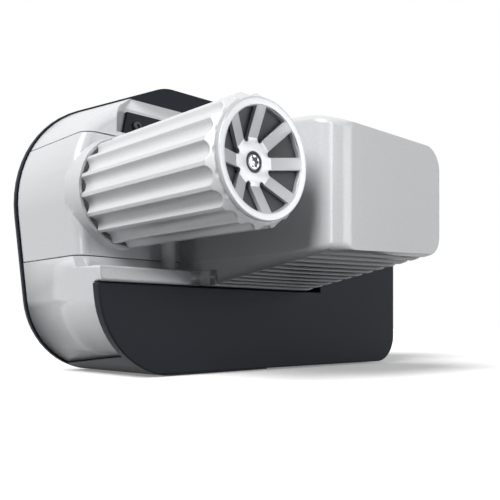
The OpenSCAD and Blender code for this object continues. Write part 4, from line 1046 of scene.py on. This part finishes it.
# matt paper, white to the eye and greyer in the light that it throws back
def makePaper():
    mat, tree, shader, _ = newFinish("mattPaper", studio["seenFloor"], 0, 0.9)
    seen = seenRays(tree)
    tone = addNode(tree, "ShaderNodeMix", {"A": linear(studio["bounce"]), "B": linear(studio["seenFloor"])},
                   {"Factor": (seen, "Value")}, data_type="RGBA")
    tree.links.new(tone.outputs["Result"], shader.inputs["Base Color"])
    glow = addNode(tree, "ShaderNodeMath", {1: studio["glow"]}, {0: (seen, "Value")}, operation="MULTIPLY")
    shader.inputs["Emission Color"].default_value = studio["white"]
    tree.links.new(glow.outputs["Value"], shader.inputs["Emission Strength"])
    return mat


half = studio["floorSize"] / 2
floorMesh = bpy.data.meshes.new("floor")
corners = ((-half, -half), (half, -half), (half, half), (-half, half))
floorMesh.from_pydata([(x, y, studio["floor"]) for x, y in corners], [], [(0, 1, 2, 3)])
floorMesh.materials.append(makePaper())
floor = addObject("floor", floorMesh)

world = bpy.data.worlds.new("studio")
scene.world = world
world.use_nodes = True
sky = world.node_tree
back = sky.nodes["Background"]
level = addNode(sky, "ShaderNodeMapRange", {"To Min": studio["sky"], "To Max": 1},
                {"Value": (seenRays(sky), "Value")})
back.inputs["Color"].default_value = studio["white"]
sky.links.new(level.outputs["Result"], back.inputs["Strength"])

# a shineOnly lamp shows in reflections alone
lamps = [
    {"name": "overLeft", "kind": "SUN", "at": (-0.75, -0.25, 0.62), "power": 4.05, "spread": 35},
    {"name": "frontRight", "kind": "AREA", "at": (0.55, -1.4, 0.2), "power": 9.6, "spread": (1.0, 0.6)},
    {"name": "strip", "kind": "AREA", "at": (-0.95, -1.15, 0.25), "power": 7.2, "spread": (0.12, 1.2),
     "shineOnly": True},
]
for lamp in lamps:
    data = bpy.data.lights.new(lamp["name"], lamp["kind"])
    data.energy = lamp["power"]
    if lamp["kind"] == "SUN":
        data.angle = math.radians(lamp["spread"])
    else:
        data.shape = "RECTANGLE"
        data.size, data.size_y = lamp["spread"]
    obj = addObject(lamp["name"], data)
    obj.location = lamp["at"]
    obj.visible_diffuse = "shineOnly" not in lamp
    obj.rotation_euler = (Vector(studio["aim"]) - Vector(lamp["at"])).to_track_quat("-Z", "Y").to_euler()

scene.view_settings.view_transform = "Standard"
